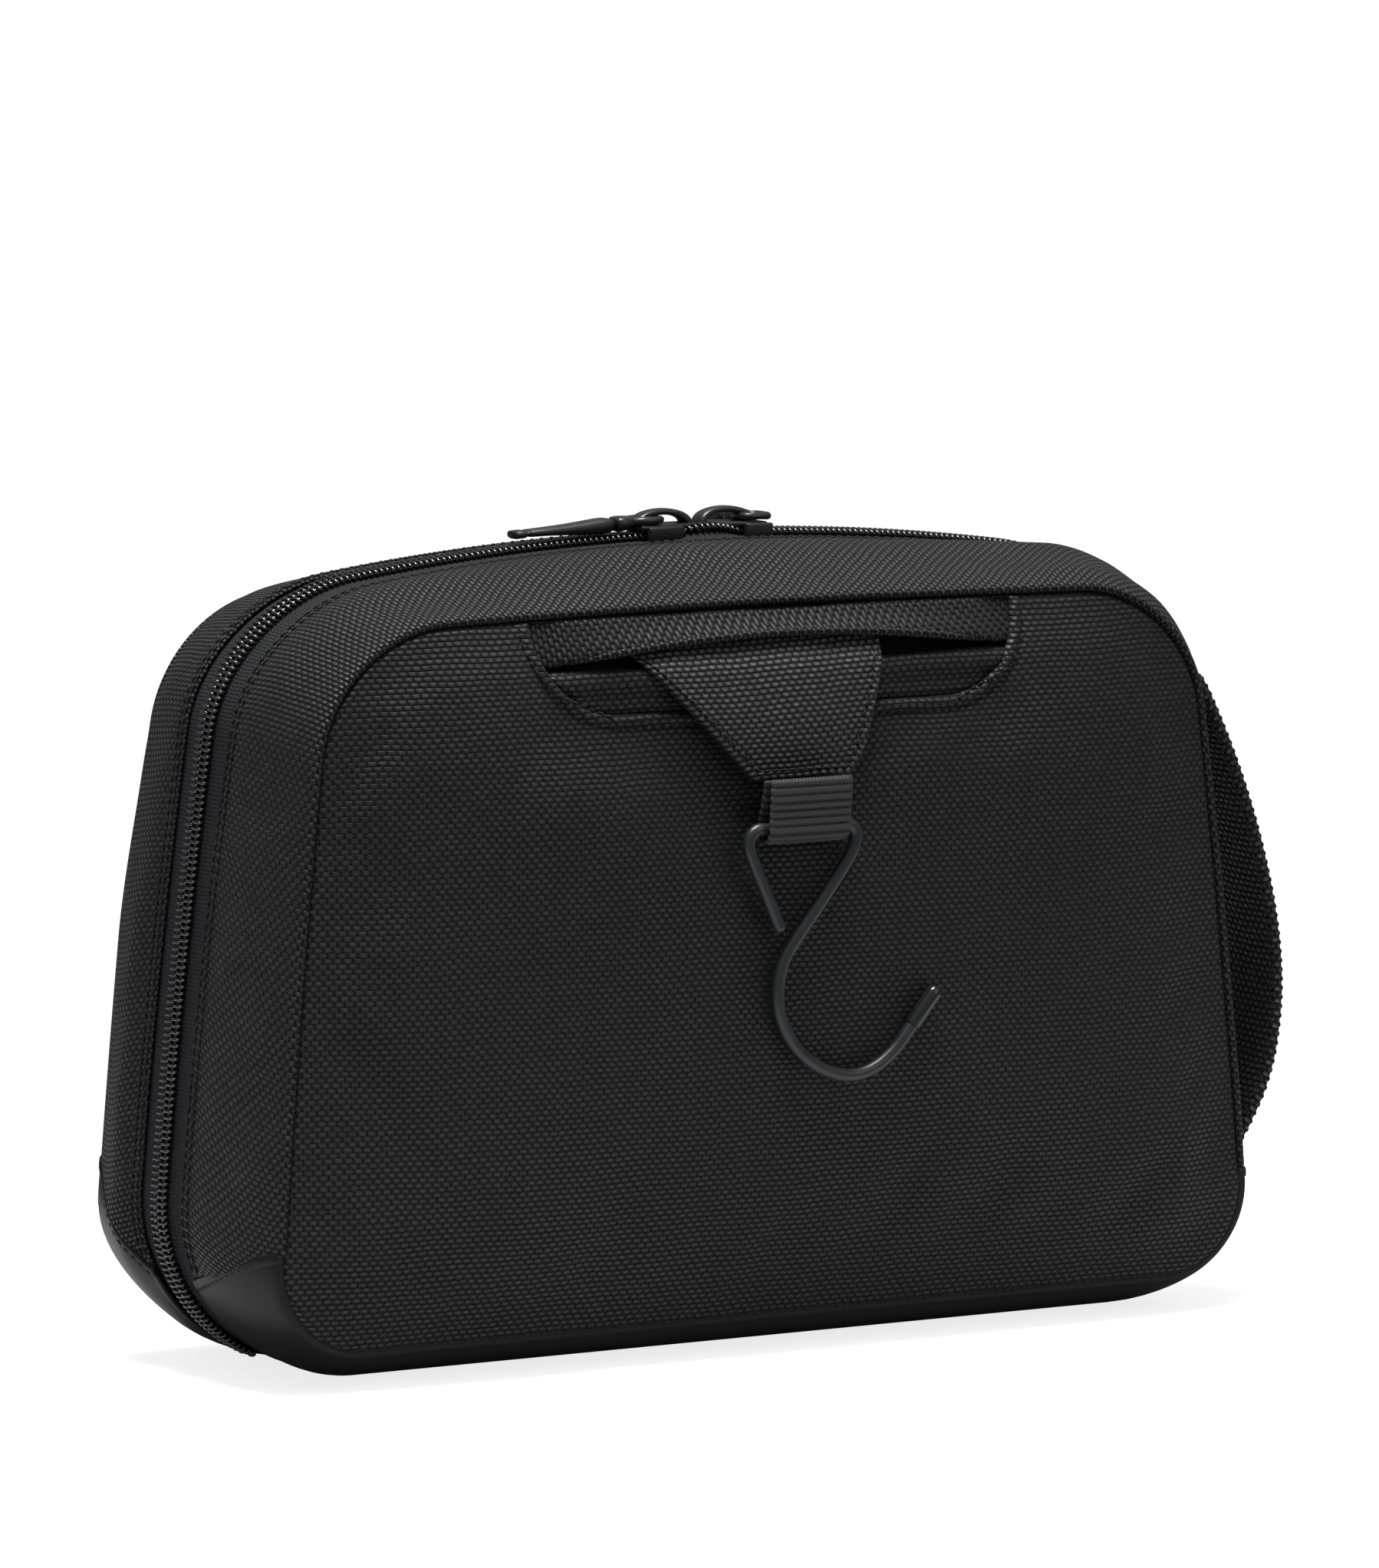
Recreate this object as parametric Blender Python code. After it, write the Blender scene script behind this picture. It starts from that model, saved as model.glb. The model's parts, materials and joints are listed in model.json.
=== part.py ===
"""Hanging toiletry bag: a padded clamshell case of two halves with a bottom hinge,
a two-slider zip over the top and both sides, a grab handle on the right side and a
wire hook on a fabric flap that comes out of a slot in the hook-side panel.

Sizes are in millimetres and become metres as vertices are made. +X is the bag's right
seen from the hook side, the hook-side panel faces -Y, +Z is up. The origin is on the
ground, under the zip line, at mid width.
"""
import math

import bpy
import bmesh
from mathutils import Matrix, Vector

for old in list(bpy.data.objects):
    bpy.data.objects.remove(old, do_unlink=True)

MM = 0.001

# ---------------------------------------------------------------- driving sizes
ZIP_HALF_TOP = 120.5      # half width of the zip line, produced to its top corners
ZIP_HALF_BOTTOM = 140.0   # half width of the zip line at the ground
ZIP_TOP = 185.8           # height of the zip line at mid width
ZIP_ARC_RADIUS = 640.0    # the zip's top run is an arc of this radius
ZIP_CORNER_TOP = 36.0
ZIP_CORNER_BOTTOM = 38.0
ZIP_BOW = 2.6             # how far the sides bow inwards at mid height

PANEL_HALF_TOP = 115.7    # seam of the hook-side panel
PANEL_HALF_BOTTOM = 132.0
PANEL_BOTTOM = 9.0
PANEL_TOP = 173.4
PANEL_ARC_RADIUS = 6000.0
PANEL_CORNER_TOP = 34.0
PANEL_CORNER_BOTTOM = 29.0
PANEL_BOW = 1.1
PANEL_Y = 43.6            # distance of that seam from the zip plane
PANEL_LEAN = 0.0133       # the panel leans back this much per unit height
PANEL_BULGE = 9.0

LID_Y = 33.4              # distance of the lid panel's seam from the zip plane
LID_GROW = 2.6            # the lid's seam lies this much outside the hook side's
LID_BULGE = 8.0

CENTRE_Z = 91.0           # height of the panels' crown
BULGE_POWER = 3.2

BASE_FLAT = 17.0          # the base lies flat this far from the zip plane
LID_BASE_FLAT = 14.0
TAPE_HALF = 11.0          # from the zip plane to the gusset's folded edge
WALL_POWER = 1.25         # how the walls run from zip line to seam
RISE_POWER = 2.2          # how the base curves up to the seam
SKIN = 1.0                # ballistic cloth with its coating and seam allowance
HEM_SEAM_Z = 34.0         # height of the base's hem at the panel seam
HEM_TAPE_Z = 23.5         # height of the base's hem at the tape
HEM_GAP = 0.3             # gusset and base each stop this far from the hem line

# ---------------------------------------------------------------- materials
CLOTH = dict(colour=(0.018, 0.018, 0.019), roughness=0.72)
COATED = dict(colour=(0.013, 0.013, 0.014), roughness=0.48)
TAPE = dict(colour=(0.014, 0.015, 0.018), roughness=0.8)
COIL = dict(colour=(0.02, 0.02, 0.021), roughness=0.28)
WEB = dict(colour=(0.016, 0.016, 0.017), roughness=0.7)
WIRE = dict(colour=(0.03, 0.032, 0.034), roughness=0.42, metallic=0.6)
CAST = dict(colour=(0.03, 0.03, 0.032), roughness=0.35, metallic=0.8)
RUBBER = dict(colour=(0.012, 0.012, 0.013), roughness=0.5)
FOAM = dict(colour=(0.10, 0.10, 0.11), roughness=0.9)
LINING = dict(colour=(0.05, 0.052, 0.056), roughness=0.75)
MESH = dict(colour=(0.03, 0.03, 0.032), roughness=0.7)


def material(name, colour, roughness, metallic=0.0):
    made = bpy.data.materials.new(name)
    made.use_nodes = True
    shader = made.node_tree.nodes["Principled BSDF"]
    shader.inputs["Base Color"].default_value = (*colour, 1)
    shader.inputs["Roughness"].default_value = roughness
    shader.inputs["Metallic"].default_value = metallic
    made.diffuse_color = (*colour, 1)
    return made


# ---------------------------------------------------------------- objects
def new_object(name, bm):
    """Turns the faces outward and puts the mesh into the scene."""
    bmesh.ops.recalc_face_normals(bm, faces=bm.faces)
    mesh = bpy.data.meshes.new(name)
    bm.to_mesh(mesh)
    bm.free()
    ob = bpy.data.objects.new(name, mesh)
    bpy.context.scene.collection.objects.link(ob)
    return ob


def finish(name, bm, look, smooth=True, angle=40):
    """Makes one visible piece, with a material of its own name."""
    bmesh.ops.remove_doubles(bm, verts=bm.verts, dist=2e-6)
    ob = new_object(name, bm)
    ob.data.materials.append(material(name, **look))
    if smooth:
        ob.data.shade_smooth()
        ob.data.set_sharp_from_angle(angle=math.radians(angle))
    return ob


def guide(name, bm):
    """Makes a hidden helper for a boolean."""
    ob = new_object(name, bm)
    ob.hide_render = True
    ob.display_type = "WIRE"
    return ob


def boolean(ob, helper, operation="DIFFERENCE"):
    modifier = ob.modifiers.new(operation.lower(), "BOOLEAN")
    modifier.operation = operation
    modifier.solver = "EXACT"
    modifier.object = helper


def place(ob, pivot):
    """Moves an object's origin to its joint's axis, without moving its shape."""
    origin = Vector(pivot) * MM
    ob.data.transform(Matrix.Translation(-origin))
    ob.location = origin


# ---------------------------------------------------------------- small maths
def clamp(t):
    return max(0.0, min(1.0, t))


def mix(a, b, t):
    return a + (b - a) * t


def spread(a, b, steps):
    return [a + (b - a) * i / steps for i in range(steps + 1)]


def tangent(path, i):
    return (path[min(i + 1, len(path) - 1)] - path[max(i - 1, 0)]).normalized()


def spline(points, per):
    """A smooth curve through points, per steps each span."""
    out = []
    n = len(points)
    for i in range(n - 1):
        before, start = points[max(i - 1, 0)], points[i]
        end, after = points[i + 1], points[min(i + 2, n - 1)]
        for k in range(per):
            t = k / per
            out.append(0.5 * ((2 * start) + (end - before) * t
                              + (2 * before - 5 * start + 4 * end - after) * t * t
                              + (3 * start - before - 3 * end + after) * t ** 3))
    out.append(points[-1])
    return out


# ---------------------------------------------------------------- outlines
# Shares of the way round an outline at which its rounded corners start and end.
CORNER_SPANS = ((0.14, 0.21), (0.35, 0.42), (0.58, 0.65), (0.79, 0.86))
FLAT_END, FLAT_START = 0.14, 0.86     # the bottom run lies outside these


def fillet(corner, a, b, radius, t):
    """Point at share t of the fillet at a corner between directions to a and b."""
    to_a, to_b = (a - corner).normalized(), (b - corner).normalized()
    half = to_a.angle(to_b) / 2
    reach = radius / math.tan(half)
    start, end = corner + to_a * reach, corner + to_b * reach
    centre = corner + (to_a + to_b).normalized() * (radius / math.sin(half))
    angle0 = math.atan2(*(start - centre).yx)
    angle1 = math.atan2(*(end - centre).yx)
    turn = (angle1 - angle0 + math.pi) % (2 * math.pi) - math.pi
    angle = angle0 + turn * t
    return Vector((centre.x + radius * math.cos(angle), centre.y + radius * math.sin(angle)))


class Outline:
    """A rounded trapezoid in the XZ plane as a function of u: 0 at the bottom centre,
    through the left side, 0.5 at the top centre, and back down the right side."""

    def __init__(self, half_top, half_bottom, low, high, corner_top, corner_bottom, arc, bow):
        self.half_top, self.half_bottom = half_top, half_bottom
        self.low, self.high = low, high
        self.corner_top, self.corner_bottom = corner_top, corner_bottom
        self.arc, self.bow = arc, bow

    def _left(self, u):
        bottom_corner = Vector((-self.half_bottom, self.low))
        top_corner = Vector((-self.half_top, self.high))
        bottom_centre, top_centre = Vector((0, self.low)), Vector((0, self.high))

        def lower(t):
            return fillet(bottom_corner, bottom_centre, top_corner, self.corner_bottom, t)

        def upper(t):
            return fillet(top_corner, bottom_corner, top_centre, self.corner_top, t)

        (low_in, low_out), (top_in, top_out) = CORNER_SPANS[:2]
        if u <= low_in:
            q = bottom_centre.lerp(lower(0), u / low_in)
        elif u <= low_out:
            q = lower((u - low_in) / (low_out - low_in))
        elif u <= top_in:
            q = lower(1).lerp(upper(0), (u - low_out) / (top_in - low_out))
        elif u <= top_out:
            q = upper((u - top_in) / (top_out - top_in))
        else:
            q = upper(1).lerp(top_centre, (u - top_out) / (0.5 - top_out))
        share = clamp((q.y - self.low) / (self.high - self.low))
        edge = min(1.0, abs(q.x) / self.half_bottom) ** 4
        q = Vector((q.x - self.bow * 4 * share * (1 - share) * edge, q.y))
        q.y += (math.sqrt(self.arc ** 2 - q.x ** 2) - self.arc) * share ** 3
        return q

    def pos(self, u):
        u %= 1.0
        if u <= 0.5:
            return self._left(u)
        q = self._left(1 - u)
        return Vector((-q.x, q.y))

    def at(self, u, off=0.0):
        """Point at u, moved off out of the outline."""
        step = 2e-4
        along = self.pos(u + step) - self.pos(u - step)
        normal = Vector((-along.y, along.x)).normalized()
        return self.pos(u) + normal * off

    def u_at_height(self, z):
        """u of the left side's point at height z."""
        low, high = FLAT_END, 0.5
        for _ in range(50):
            mid = (low + high) / 2
            if self._left(mid).y < z:
                low = mid
            else:
                high = mid
        return low


def wall_outline(y):
    """Outer surface of the walls at y."""
    hook = y < 0
    distance = abs(y)
    seam = PANEL_Y if hook else LID_Y
    flat = BASE_FLAT if hook else LID_BASE_FLAT
    grow = 0.0 if hook else LID_GROW
    s = clamp((distance - TAPE_HALF) / (seam - TAPE_HALF)) ** WALL_POWER
    rise = clamp((distance - flat) / (seam - flat)) ** RISE_POWER
    return Outline(
        half_top=mix(ZIP_HALF_TOP, PANEL_HALF_TOP + grow, s),
        half_bottom=mix(ZIP_HALF_BOTTOM, PANEL_HALF_BOTTOM + grow, s),
        low=PANEL_BOTTOM * rise,
        high=mix(ZIP_TOP, PANEL_TOP + grow, s),
        corner_top=mix(ZIP_CORNER_TOP, PANEL_CORNER_TOP, s),
        corner_bottom=mix(ZIP_CORNER_BOTTOM, PANEL_CORNER_BOTTOM, s),
        arc=1 / ((1 - s) / ZIP_ARC_RADIUS + s / PANEL_ARC_RADIUS),
        bow=mix(ZIP_BOW, PANEL_BOW, s))


ZIP_LINE = wall_outline(0.0)
HOOK_SEAM = wall_outline(-PANEL_Y)
LID_SEAM = wall_outline(LID_Y)


def samples(a, b, fine=1):
    """u values from a to b, closer together round the corners."""
    breaks = [u for span in CORNER_SPANS for u in span] + [0.5]
    marks = sorted({a, b, *(u for u in breaks if a < u < b)})
    tiny = 1e-9
    out = [a]
    for p, q in zip(marks, marks[1:]):
        if any(p >= start - tiny and q <= end + tiny for start, end in CORNER_SPANS):
            n = max(3, round(5 * fine))
        elif q <= FLAT_END + tiny or p >= FLAT_START - tiny:
            n = max(1, round(fine))
        else:
            n = max(1, round(2 * fine))
        out += [p + (q - p) * i / n for i in range(1, n + 1)]
    return out


def loop_samples(fine=1):
    """u values once round a closed outline."""
    return samples(0.0, 1.0, fine)[:-1]


# ---------------------------------------------------------------- solid builders
def add_verts(bm, points):
    return [bm.verts.new(Vector(p) * MM) for p in points]


def strip(bm, a, b, closed=False, flip=False):
    """Quads between two rows of vertices; flip turns them over."""
    n = len(a)
    for k in range(n if closed else n - 1):
        m = (k + 1) % n
        bm.faces.new((a[k], b[k], b[m], a[m]) if flip else (a[k], a[m], b[m], b[k]))


def strips(bm, rows, closed=False, flip=False):
    for a, b in zip(rows, rows[1:]):
        strip(bm, a, b, closed, flip)


def slab(outer, inner):
    """A closed skin between two grids of points (rows by columns)."""
    bm = bmesh.new()
    out = [add_verts(bm, row) for row in outer]
    inn = [add_verts(bm, row) for row in inner]
    strips(bm, out)
    strips(bm, inn, flip=True)
    strip(bm, out[0], inn[0], flip=True)
    strip(bm, out[-1], inn[-1])
    strip(bm, [row[0] for row in out], [row[0] for row in inn])
    strip(bm, [row[-1] for row in out], [row[-1] for row in inn], flip=True)
    return bm


def loft(rings):
    """A solid through rings of points, with flat ends."""
    bm = bmesh.new()
    rings = [add_verts(bm, ring) for ring in rings]
    strips(bm, rings, closed=True)
    bm.faces.new(rings[0][::-1])
    bm.faces.new(rings[-1])
    return bm


def prism(first, second):
    """A solid between two matching polygons."""
    bm = bmesh.new()
    first, second = add_verts(bm, first), add_verts(bm, second)
    bm.faces.new(first)
    bm.faces.new(second[::-1])
    strip(bm, first, second, closed=True, flip=True)
    return bm


def plate(points, half_thick):
    """A flat plate of the given XY outline, centred on Z = 0."""
    return prism([(x, y, -half_thick) for x, y in points],
                 [(x, y, half_thick) for x, y in points])


def circle(centre, a, b, radius, sides):
    angles = [2 * math.pi * k / sides for k in range(sides)]
    return [centre + a * radius * math.cos(w) + b * radius * math.sin(w) for w in angles]


def tube(path, radii, sides, up):
    """A round bar along a path."""
    rings = []
    for i, p in enumerate(path):
        along = tangent(path, i)
        a = (up - along * up.dot(along)).normalized()
        rings.append(circle(p, a, along.cross(a), radii[i], sides))
    return loft(rings)


def box(low, high, bevel=0.0):
    """A block, with rounded edges if bevel is given."""
    bm = bmesh.new()
    bmesh.ops.create_cube(bm, size=1.0)
    for v in bm.verts:
        v.co = Vector([(a + b) / 2 + c * (b - a) for a, b, c in zip(low, high, v.co)]) * MM
    if bevel:
        bmesh.ops.bevel(bm, geom=bm.edges[:], offset=bevel * MM, segments=2,
                        affect="EDGES", profile=0.5)
    return bm


def hollow_guide(name, outer, hole, half_width, closed):
    """A helper between an outer and a hole profile in XZ, centred on Y = 0."""
    bm = bmesh.new()
    (out0, out1), (hole0, hole1) = [
        [add_verts(bm, [(x, y, z) for x, z in profile]) for y in (-half_width, half_width)]
        for profile in (outer, hole)]
    strip(bm, out0, hole0, closed)
    strip(bm, out1, hole1, closed, flip=True)
    strip(bm, out0, out1, closed, flip=True)
    strip(bm, hole0, hole1, closed)
    if not closed:
        for k in (0, -1):
            bm.faces.new((out0[k], hole0[k], hole1[k], out1[k]))
    # Also refreshes the face normals that guide() starts from.
    bmesh.ops.recalc_face_normals(bm, faces=bm.faces)
    return guide(name, bm)


def band(name, ys, start_u, off_out, off_in, look, fine=1):
    """A wall strip over the top and both sides: one row at each y, running from
    start_u(y, outline) on the left to its mirror on the right."""
    outer, inner = [], []
    for y in ys:
        outline = wall_outline(y)
        start = start_u(y, outline)
        us = samples(start, 1 - start, fine)
        for rows, off in ((outer, off_out), (inner, off_in)):
            points = [outline.at(u, off) for u in us]
            rows.append([(q.x, y, q.y) for q in points])
    return finish(name, slab(outer, inner), look)


# ---------------------------------------------------------------- panel surface
def seam_y(z, side):
    if side < 0:
        return -(PANEL_Y - PANEL_LEAN * (z - PANEL_BOTTOM))
    return LID_Y


def bulge(rho, height):
    return height * (1 - clamp(rho) ** BULGE_POWER)


PANEL_SHRINK = 0.6        # the panels' edge lies this far inside their seam
PANEL_EDGE = [HOOK_SEAM.at(i / 400, -PANEL_SHRINK) for i in range(401)]
# (angle, radius) of the hook-side panel's edge about its centre
PANEL_POLAR = [(math.atan2(q.y - CENTRE_Z, q.x), math.hypot(q.x, q.y - CENTRE_Z))
               for q in PANEL_EDGE]


def panel_rho(x, z):
    """How far (x, z) lies from the panel's centre towards its edge: 0 to 1."""
    want = math.atan2(z - CENTRE_Z, x)

    def miss(polar):
        return abs((polar[0] - want + math.pi) % (2 * math.pi) - math.pi)

    return math.hypot(x, z - CENTRE_Z) / min(PANEL_POLAR, key=miss)[1]


def panel_y(x, z, off=0.0):
    """Outer face of the hook-side panel at (x, z), moved off outwards."""
    return seam_y(z, -1) - bulge(panel_rho(x, z), PANEL_BULGE) - off


def disc(name, seam, side, shrink, depth, crown, thick, look, rings, fine=1):
    """A crowned sheet inside a seam outline. depth is how far its outer face lies
    inside the seam plane; rings are shares of the outline from the rim inwards."""
    us = loop_samples(fine)
    bm = bmesh.new()
    out, inn = [], []
    for share in rings:
        front, back = [], []
        for u in us:
            q = seam.at(u, -shrink)
            x, z = q.x * share, CENTRE_Z + (q.y - CENTRE_Z) * share
            y = abs(seam_y(z, side)) - depth + bulge(share, crown)
            front.append((x, side * y, z))
            back.append((x, side * (y - thick), z))
        out.append(add_verts(bm, front))
        inn.append(add_verts(bm, back))
    y = abs(seam_y(CENTRE_Z, side)) - depth + crown
    tip_out, tip_in = add_verts(bm, [(0, side * y, CENTRE_Z), (0, side * (y - thick), CENTRE_Z)])
    strips(bm, out, closed=True)
    strips(bm, inn, closed=True, flip=True)
    strip(bm, out[0], inn[0], closed=True, flip=True)
    for j in range(len(us)):
        k = (j + 1) % len(us)
        bm.faces.new((out[-1][j], out[-1][k], tip_out))
        bm.faces.new((inn[-1][j], tip_in, inn[-1][k]))
    return finish(name, bm, look)


# ---------------------------------------------------------------- base and its hem
def hem_z(y):
    seam = PANEL_Y if y < 0 else LID_Y
    return mix(HEM_TAPE_Z, HEM_SEAM_Z, clamp((abs(y) - TAPE_HALF) / (seam - TAPE_HALF)))


def base_band(name, ys, look, depth_out=0.0, depth_in=SKIN, below_hem=HEM_GAP):
    """A layer under the bag, up both sides to just below the hem."""
    outer, inner = [], []
    for y in ys:
        outline = wall_outline(y)
        left = samples(0.0, outline.u_at_height(hem_z(y) - below_hem), 2)
        us = left[::-1] + [-u for u in left[1:]]
        points = [outline.at(u, -depth_out) for u in us]
        outer.append([(q.x, y, max(q.y, depth_out)) for q in points])
        points = [outline.at(u, -depth_in) for u in us]
        inner.append([(q.x, y, q.y) for q in points])
    finish(name, slab(outer, inner), look, angle=30)


# ================================================================ parts of both halves
FOAM_CROWN = 1.6          # crown of the foam and of the lining over it
HOOK_FOAM_DEPTH = 2.2     # foam's outer face inside the hook-side seam plane
PAD_RINGS = (1, 0.7)
COARSE = 0.6              # sampling of the hidden parts
LINING_START = 0.6        # gusset lining starts this far above the hem

BINDING_INSIDE = 4.6      # binding's centre inside the seam outline
BINDING_RX, BINDING_RY = 1.0, 1.1

TAPE_SPAN = (1.0, 12.4)   # tape's edges from the zip plane
TAPE_OFF = (-1.6, -2.15)  # tape's outer and inner faces from the zip line
COIL_HALF = 3.6           # half width of the closed chain
COIL_RISE = 1.25          # the coil stands this far out of the zip line
# (distance from the zip plane, offset out of the zip line)
COIL_PROFILE = ((0.2, -1.0), (3.3, -1.0), (COIL_HALF, 0.2), (2.6, COIL_RISE),
                (0.8, 1.15), (0.2, 0.3))
ZIP_END_U = ZIP_LINE.u_at_height(3.6)   # both ends tuck under the lower corners


def seam_binding(name, seam, side, depth):
    """Rolled binding over the raw edges inside the panel seam."""
    bm = bmesh.new()
    rows = []
    for k in range(4):
        w = 2 * math.pi * k / 4 + math.pi / 4
        points = [seam.at(u, -BINDING_INSIDE + BINDING_RX * math.cos(w))
                  for u in loop_samples(COARSE)]
        shift = -depth + BINDING_RY * math.sin(w)
        rows.append(add_verts(bm, [(q.x, side * (abs(seam_y(q.y, side)) + shift), q.y)
                                   for q in points]))
    strips(bm, rows + rows[:1], closed=True)
    finish(name, bm, WEB)


def zip_coil(name, side):
    rings = []
    for u in samples(ZIP_END_U, 1 - ZIP_END_U, 2):
        ring = []
        for distance, off in COIL_PROFILE:
            q = ZIP_LINE.at(u, off)
            ring.append((q.x, side * distance, q.y))
        rings.append(ring)
    finish(name, loft(rings), COIL)


def build_half(name, side, seam, crown, panel_rings, foam_depth, lining_depth,
               gusset, gusset_lining, base, binding_depth):
    """One half's shell, padding and zip side; returns its panel. The gusset and base
    tuples are distances of their rows from the zip plane."""
    def rows(distances):
        return [side * d for d in distances]

    panel = disc(name + "_panel", seam, side, PANEL_SHRINK, 0.0, crown, SKIN, CLOTH,
                 panel_rings)
    disc(name + "_foam", seam, side, 3.2, foam_depth, FOAM_CROWN, 3.0, FOAM,
         PAD_RINGS, COARSE)
    disc(name + "_lining", seam, side, 5.0, lining_depth, FOAM_CROWN, 0.6, LINING,
         PAD_RINGS, COARSE)
    band(name + "_gusset", rows(gusset), lambda y, o: o.u_at_height(hem_z(y) + HEM_GAP),
         0.0, -SKIN, CLOTH, fine=2)
    band(name + "_gusset_lining", rows(gusset_lining),
         lambda y, o: o.u_at_height(hem_z(y) + LINING_START), -2.4, -3.0, LINING)
    base_band(name + "_base", rows(base), COATED)
    seam_binding(name + "_seam_binding", seam, side, binding_depth)
    band("zip_tape_" + name, rows(TAPE_SPAN), lambda y, o: ZIP_END_U, *TAPE_OFF, TAPE, fine=2)
    zip_coil("zip_coil_" + name, side)
    return panel


hook_panel = build_half(
    "hook_side", -1, HOOK_SEAM, PANEL_BULGE,
    panel_rings=(1, 0.95, 0.88, 0.76, 0.58, 0.32),
    foam_depth=HOOK_FOAM_DEPTH, lining_depth=5.8,
    gusset=(TAPE_HALF, 26.0, 41.4), gusset_lining=(14.6, 34.5),
    base=(TAPE_HALF, BASE_FLAT, 37.5, 41.6), binding_depth=8.4)
build_half(
    "lid", 1, LID_SEAM, LID_BULGE,
    panel_rings=(1, 0.93, 0.82, 0.64, 0.36),
    foam_depth=1.4, lining_depth=4.8,
    gusset=(TAPE_HALF, 21.0, 31.2), gusset_lining=(14.6, 25.5),
    base=(TAPE_HALF, LID_BASE_FLAT, 28.5, 31.4), binding_depth=7.4)

base_band("hook_side_base_board", [-14.5, -32.0], FOAM, depth_out=2.4, depth_in=4.0,
          below_hem=HEM_GAP + 10.0)

# The cloth strip that joins the halves between the zip ends.
finish("bottom_hinge_strip", box((-92.0, -10.6, 0.0), (92.0, 10.6, 1.0)), COATED, smooth=False)

# ================================================================ slot in the panel
SLOT_HALF_TOP = 64.5
SLOT_HALF_BOTTOM = 46.0
SLOT_FLOOR = 150.2
SLOT_TOP = 172.0
SLOT_CUT_RISE = 21.6      # the cutter is shaped this far up, then runs straight
SLOT_CUT_TOP = 176.0
SLOT_CUT_Y = (-70, -34)

LIP_TOP = 170.6
LIP_EDGE_Z = 161.4        # lip's lower edge at its ends
LIP_ARCH = 5.2            # rise of that edge at mid width
LIP_ARCH_HALF = 60.0
WELT_LOW = SLOT_FLOOR + 0.9
WELT_TOP = 159.9
WELT_ROLL_Z = 151.0       # the welt's rounded face starts here
WELT_ROLL_HEIGHT = 9.0

POUCH_Z = (98.0, 110.0, 124.0, 138.0, 148.6)
POUCH_HALF = 61.0
POUCH_WALL = 0.6
POUCH_BEHIND = 1.35       # pouch's front behind the panel's outer face
POUCH_FOAM_GAP = 0.35


def slot_half(z, grow=0.0):
    """Half width of the slot's boat shape at height z."""
    t = clamp((z - SLOT_FLOOR) / (SLOT_TOP - SLOT_FLOOR))
    return mix(SLOT_HALF_BOTTOM, SLOT_HALF_TOP, (1 - (1 - t) ** 2.2) ** 0.62) + grow


def foam_front_y(z):
    """Outer face of the hook-side foam at its rim."""
    return seam_y(z, -1) + HOOK_FOAM_DEPTH


def cut_slot():
    zs = spread(SLOT_FLOOR, SLOT_FLOOR + SLOT_CUT_RISE, 8) + [SLOT_CUT_TOP]
    left = [(-slot_half(z), z) for z in zs]
    outline = left + [(-x, z) for x, z in reversed(left)]
    front, back = [[(x, y, z) for x, z in outline] for y in SLOT_CUT_Y]
    boolean(hook_panel, guide("slot_cutter", prism(front, back)))


def slot_patch(name, low, high, grow, off_out, off_in):
    """A patch in the slot from height low(x) to high, following the panel."""
    rows, cols = 3, 12
    outer, inner = [], []
    for i in range(rows + 1):
        row_out, row_in = [], []
        for j in range(cols + 1):
            s = -1 + 2 * j / cols
            x = s * slot_half(low(0) + (high - low(0)) * i / rows, grow)
            z = low(x) + (high - low(x)) * i / rows
            x = s * slot_half(z, grow)
            row_out.append((x, panel_y(x, z, off_out(z)), z))
            row_in.append((x, panel_y(x, z, off_in), z))
        outer.append(row_out)
        inner.append(row_in)
    finish(name, slab(outer, inner), CLOTH)


def lip_bottom(x):
    return LIP_EDGE_Z + LIP_ARCH * (1 - min(1.0, abs(x) / LIP_ARCH_HALF) ** 2)


def welt_roll(z):
    return 0.1 + 0.9 * math.sin(math.pi * clamp((z - WELT_ROLL_Z) / WELT_ROLL_HEIGHT))


def slot_pouch():
    """A flat pouch behind the panel, open at the top."""
    def ring(z, inset):
        half = POUCH_HALF
        xs = [-half + inset, -half / 3, half / 3, half - inset]
        back_y = foam_front_y(z) - FOAM_CROWN - POUCH_FOAM_GAP - inset
        front = [(x, panel_y(x, z, -POUCH_BEHIND - inset), z) for x in xs]
        return front + [(x, back_y, z) for x in reversed(xs)]

    bm = bmesh.new()
    outer = [add_verts(bm, ring(z, 0.0)) for z in POUCH_Z]
    inner = [add_verts(bm, ring(z, POUCH_WALL))
             for z in (POUCH_Z[0] + POUCH_WALL, *POUCH_Z[1:])]
    strips(bm, outer, closed=True)
    strips(bm, inner, closed=True, flip=True)
    bm.faces.new(outer[0])
    bm.faces.new(inner[0][::-1])
    strip(bm, outer[-1], inner[-1], closed=True)
    finish("slot_pouch", bm, LINING)


def slot_backing():
    """The cloth at the back of the slot, above the pouch's mouth."""
    outer, inner = [], []
    for z in (149.0, 156.0, 163.0, 169.6):
        half = slot_half(z, -1.2)
        xs = spread(-half, half, 8)
        y = foam_front_y(z) - 1.3
        outer.append([(x, y - 0.55, z) for x in xs])
        inner.append([(x, y, z) for x in xs])
    finish("slot_backing", slab(outer, inner), LINING)


cut_slot()
slot_patch("slot_lip", lip_bottom, LIP_TOP, -0.5, lambda z: 0.2, -0.9)
slot_patch("slot_welt", lambda x: WELT_LOW, WELT_TOP, -1.4, welt_roll, -1.0)
slot_pouch()
slot_backing()

# ================================================================ hook on its flap
FLAP_AXIS = (0, -49.6, 163.6)
FLAP_TOP_X = (-36.0, 27.0)       # left and right ends of the flap's top edge
FLAP_BOTTOM_X = (-12.6, 14.2)
FLAP_Z = (162.6, 134.0)
FLAP_THICK = 1.8

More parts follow.
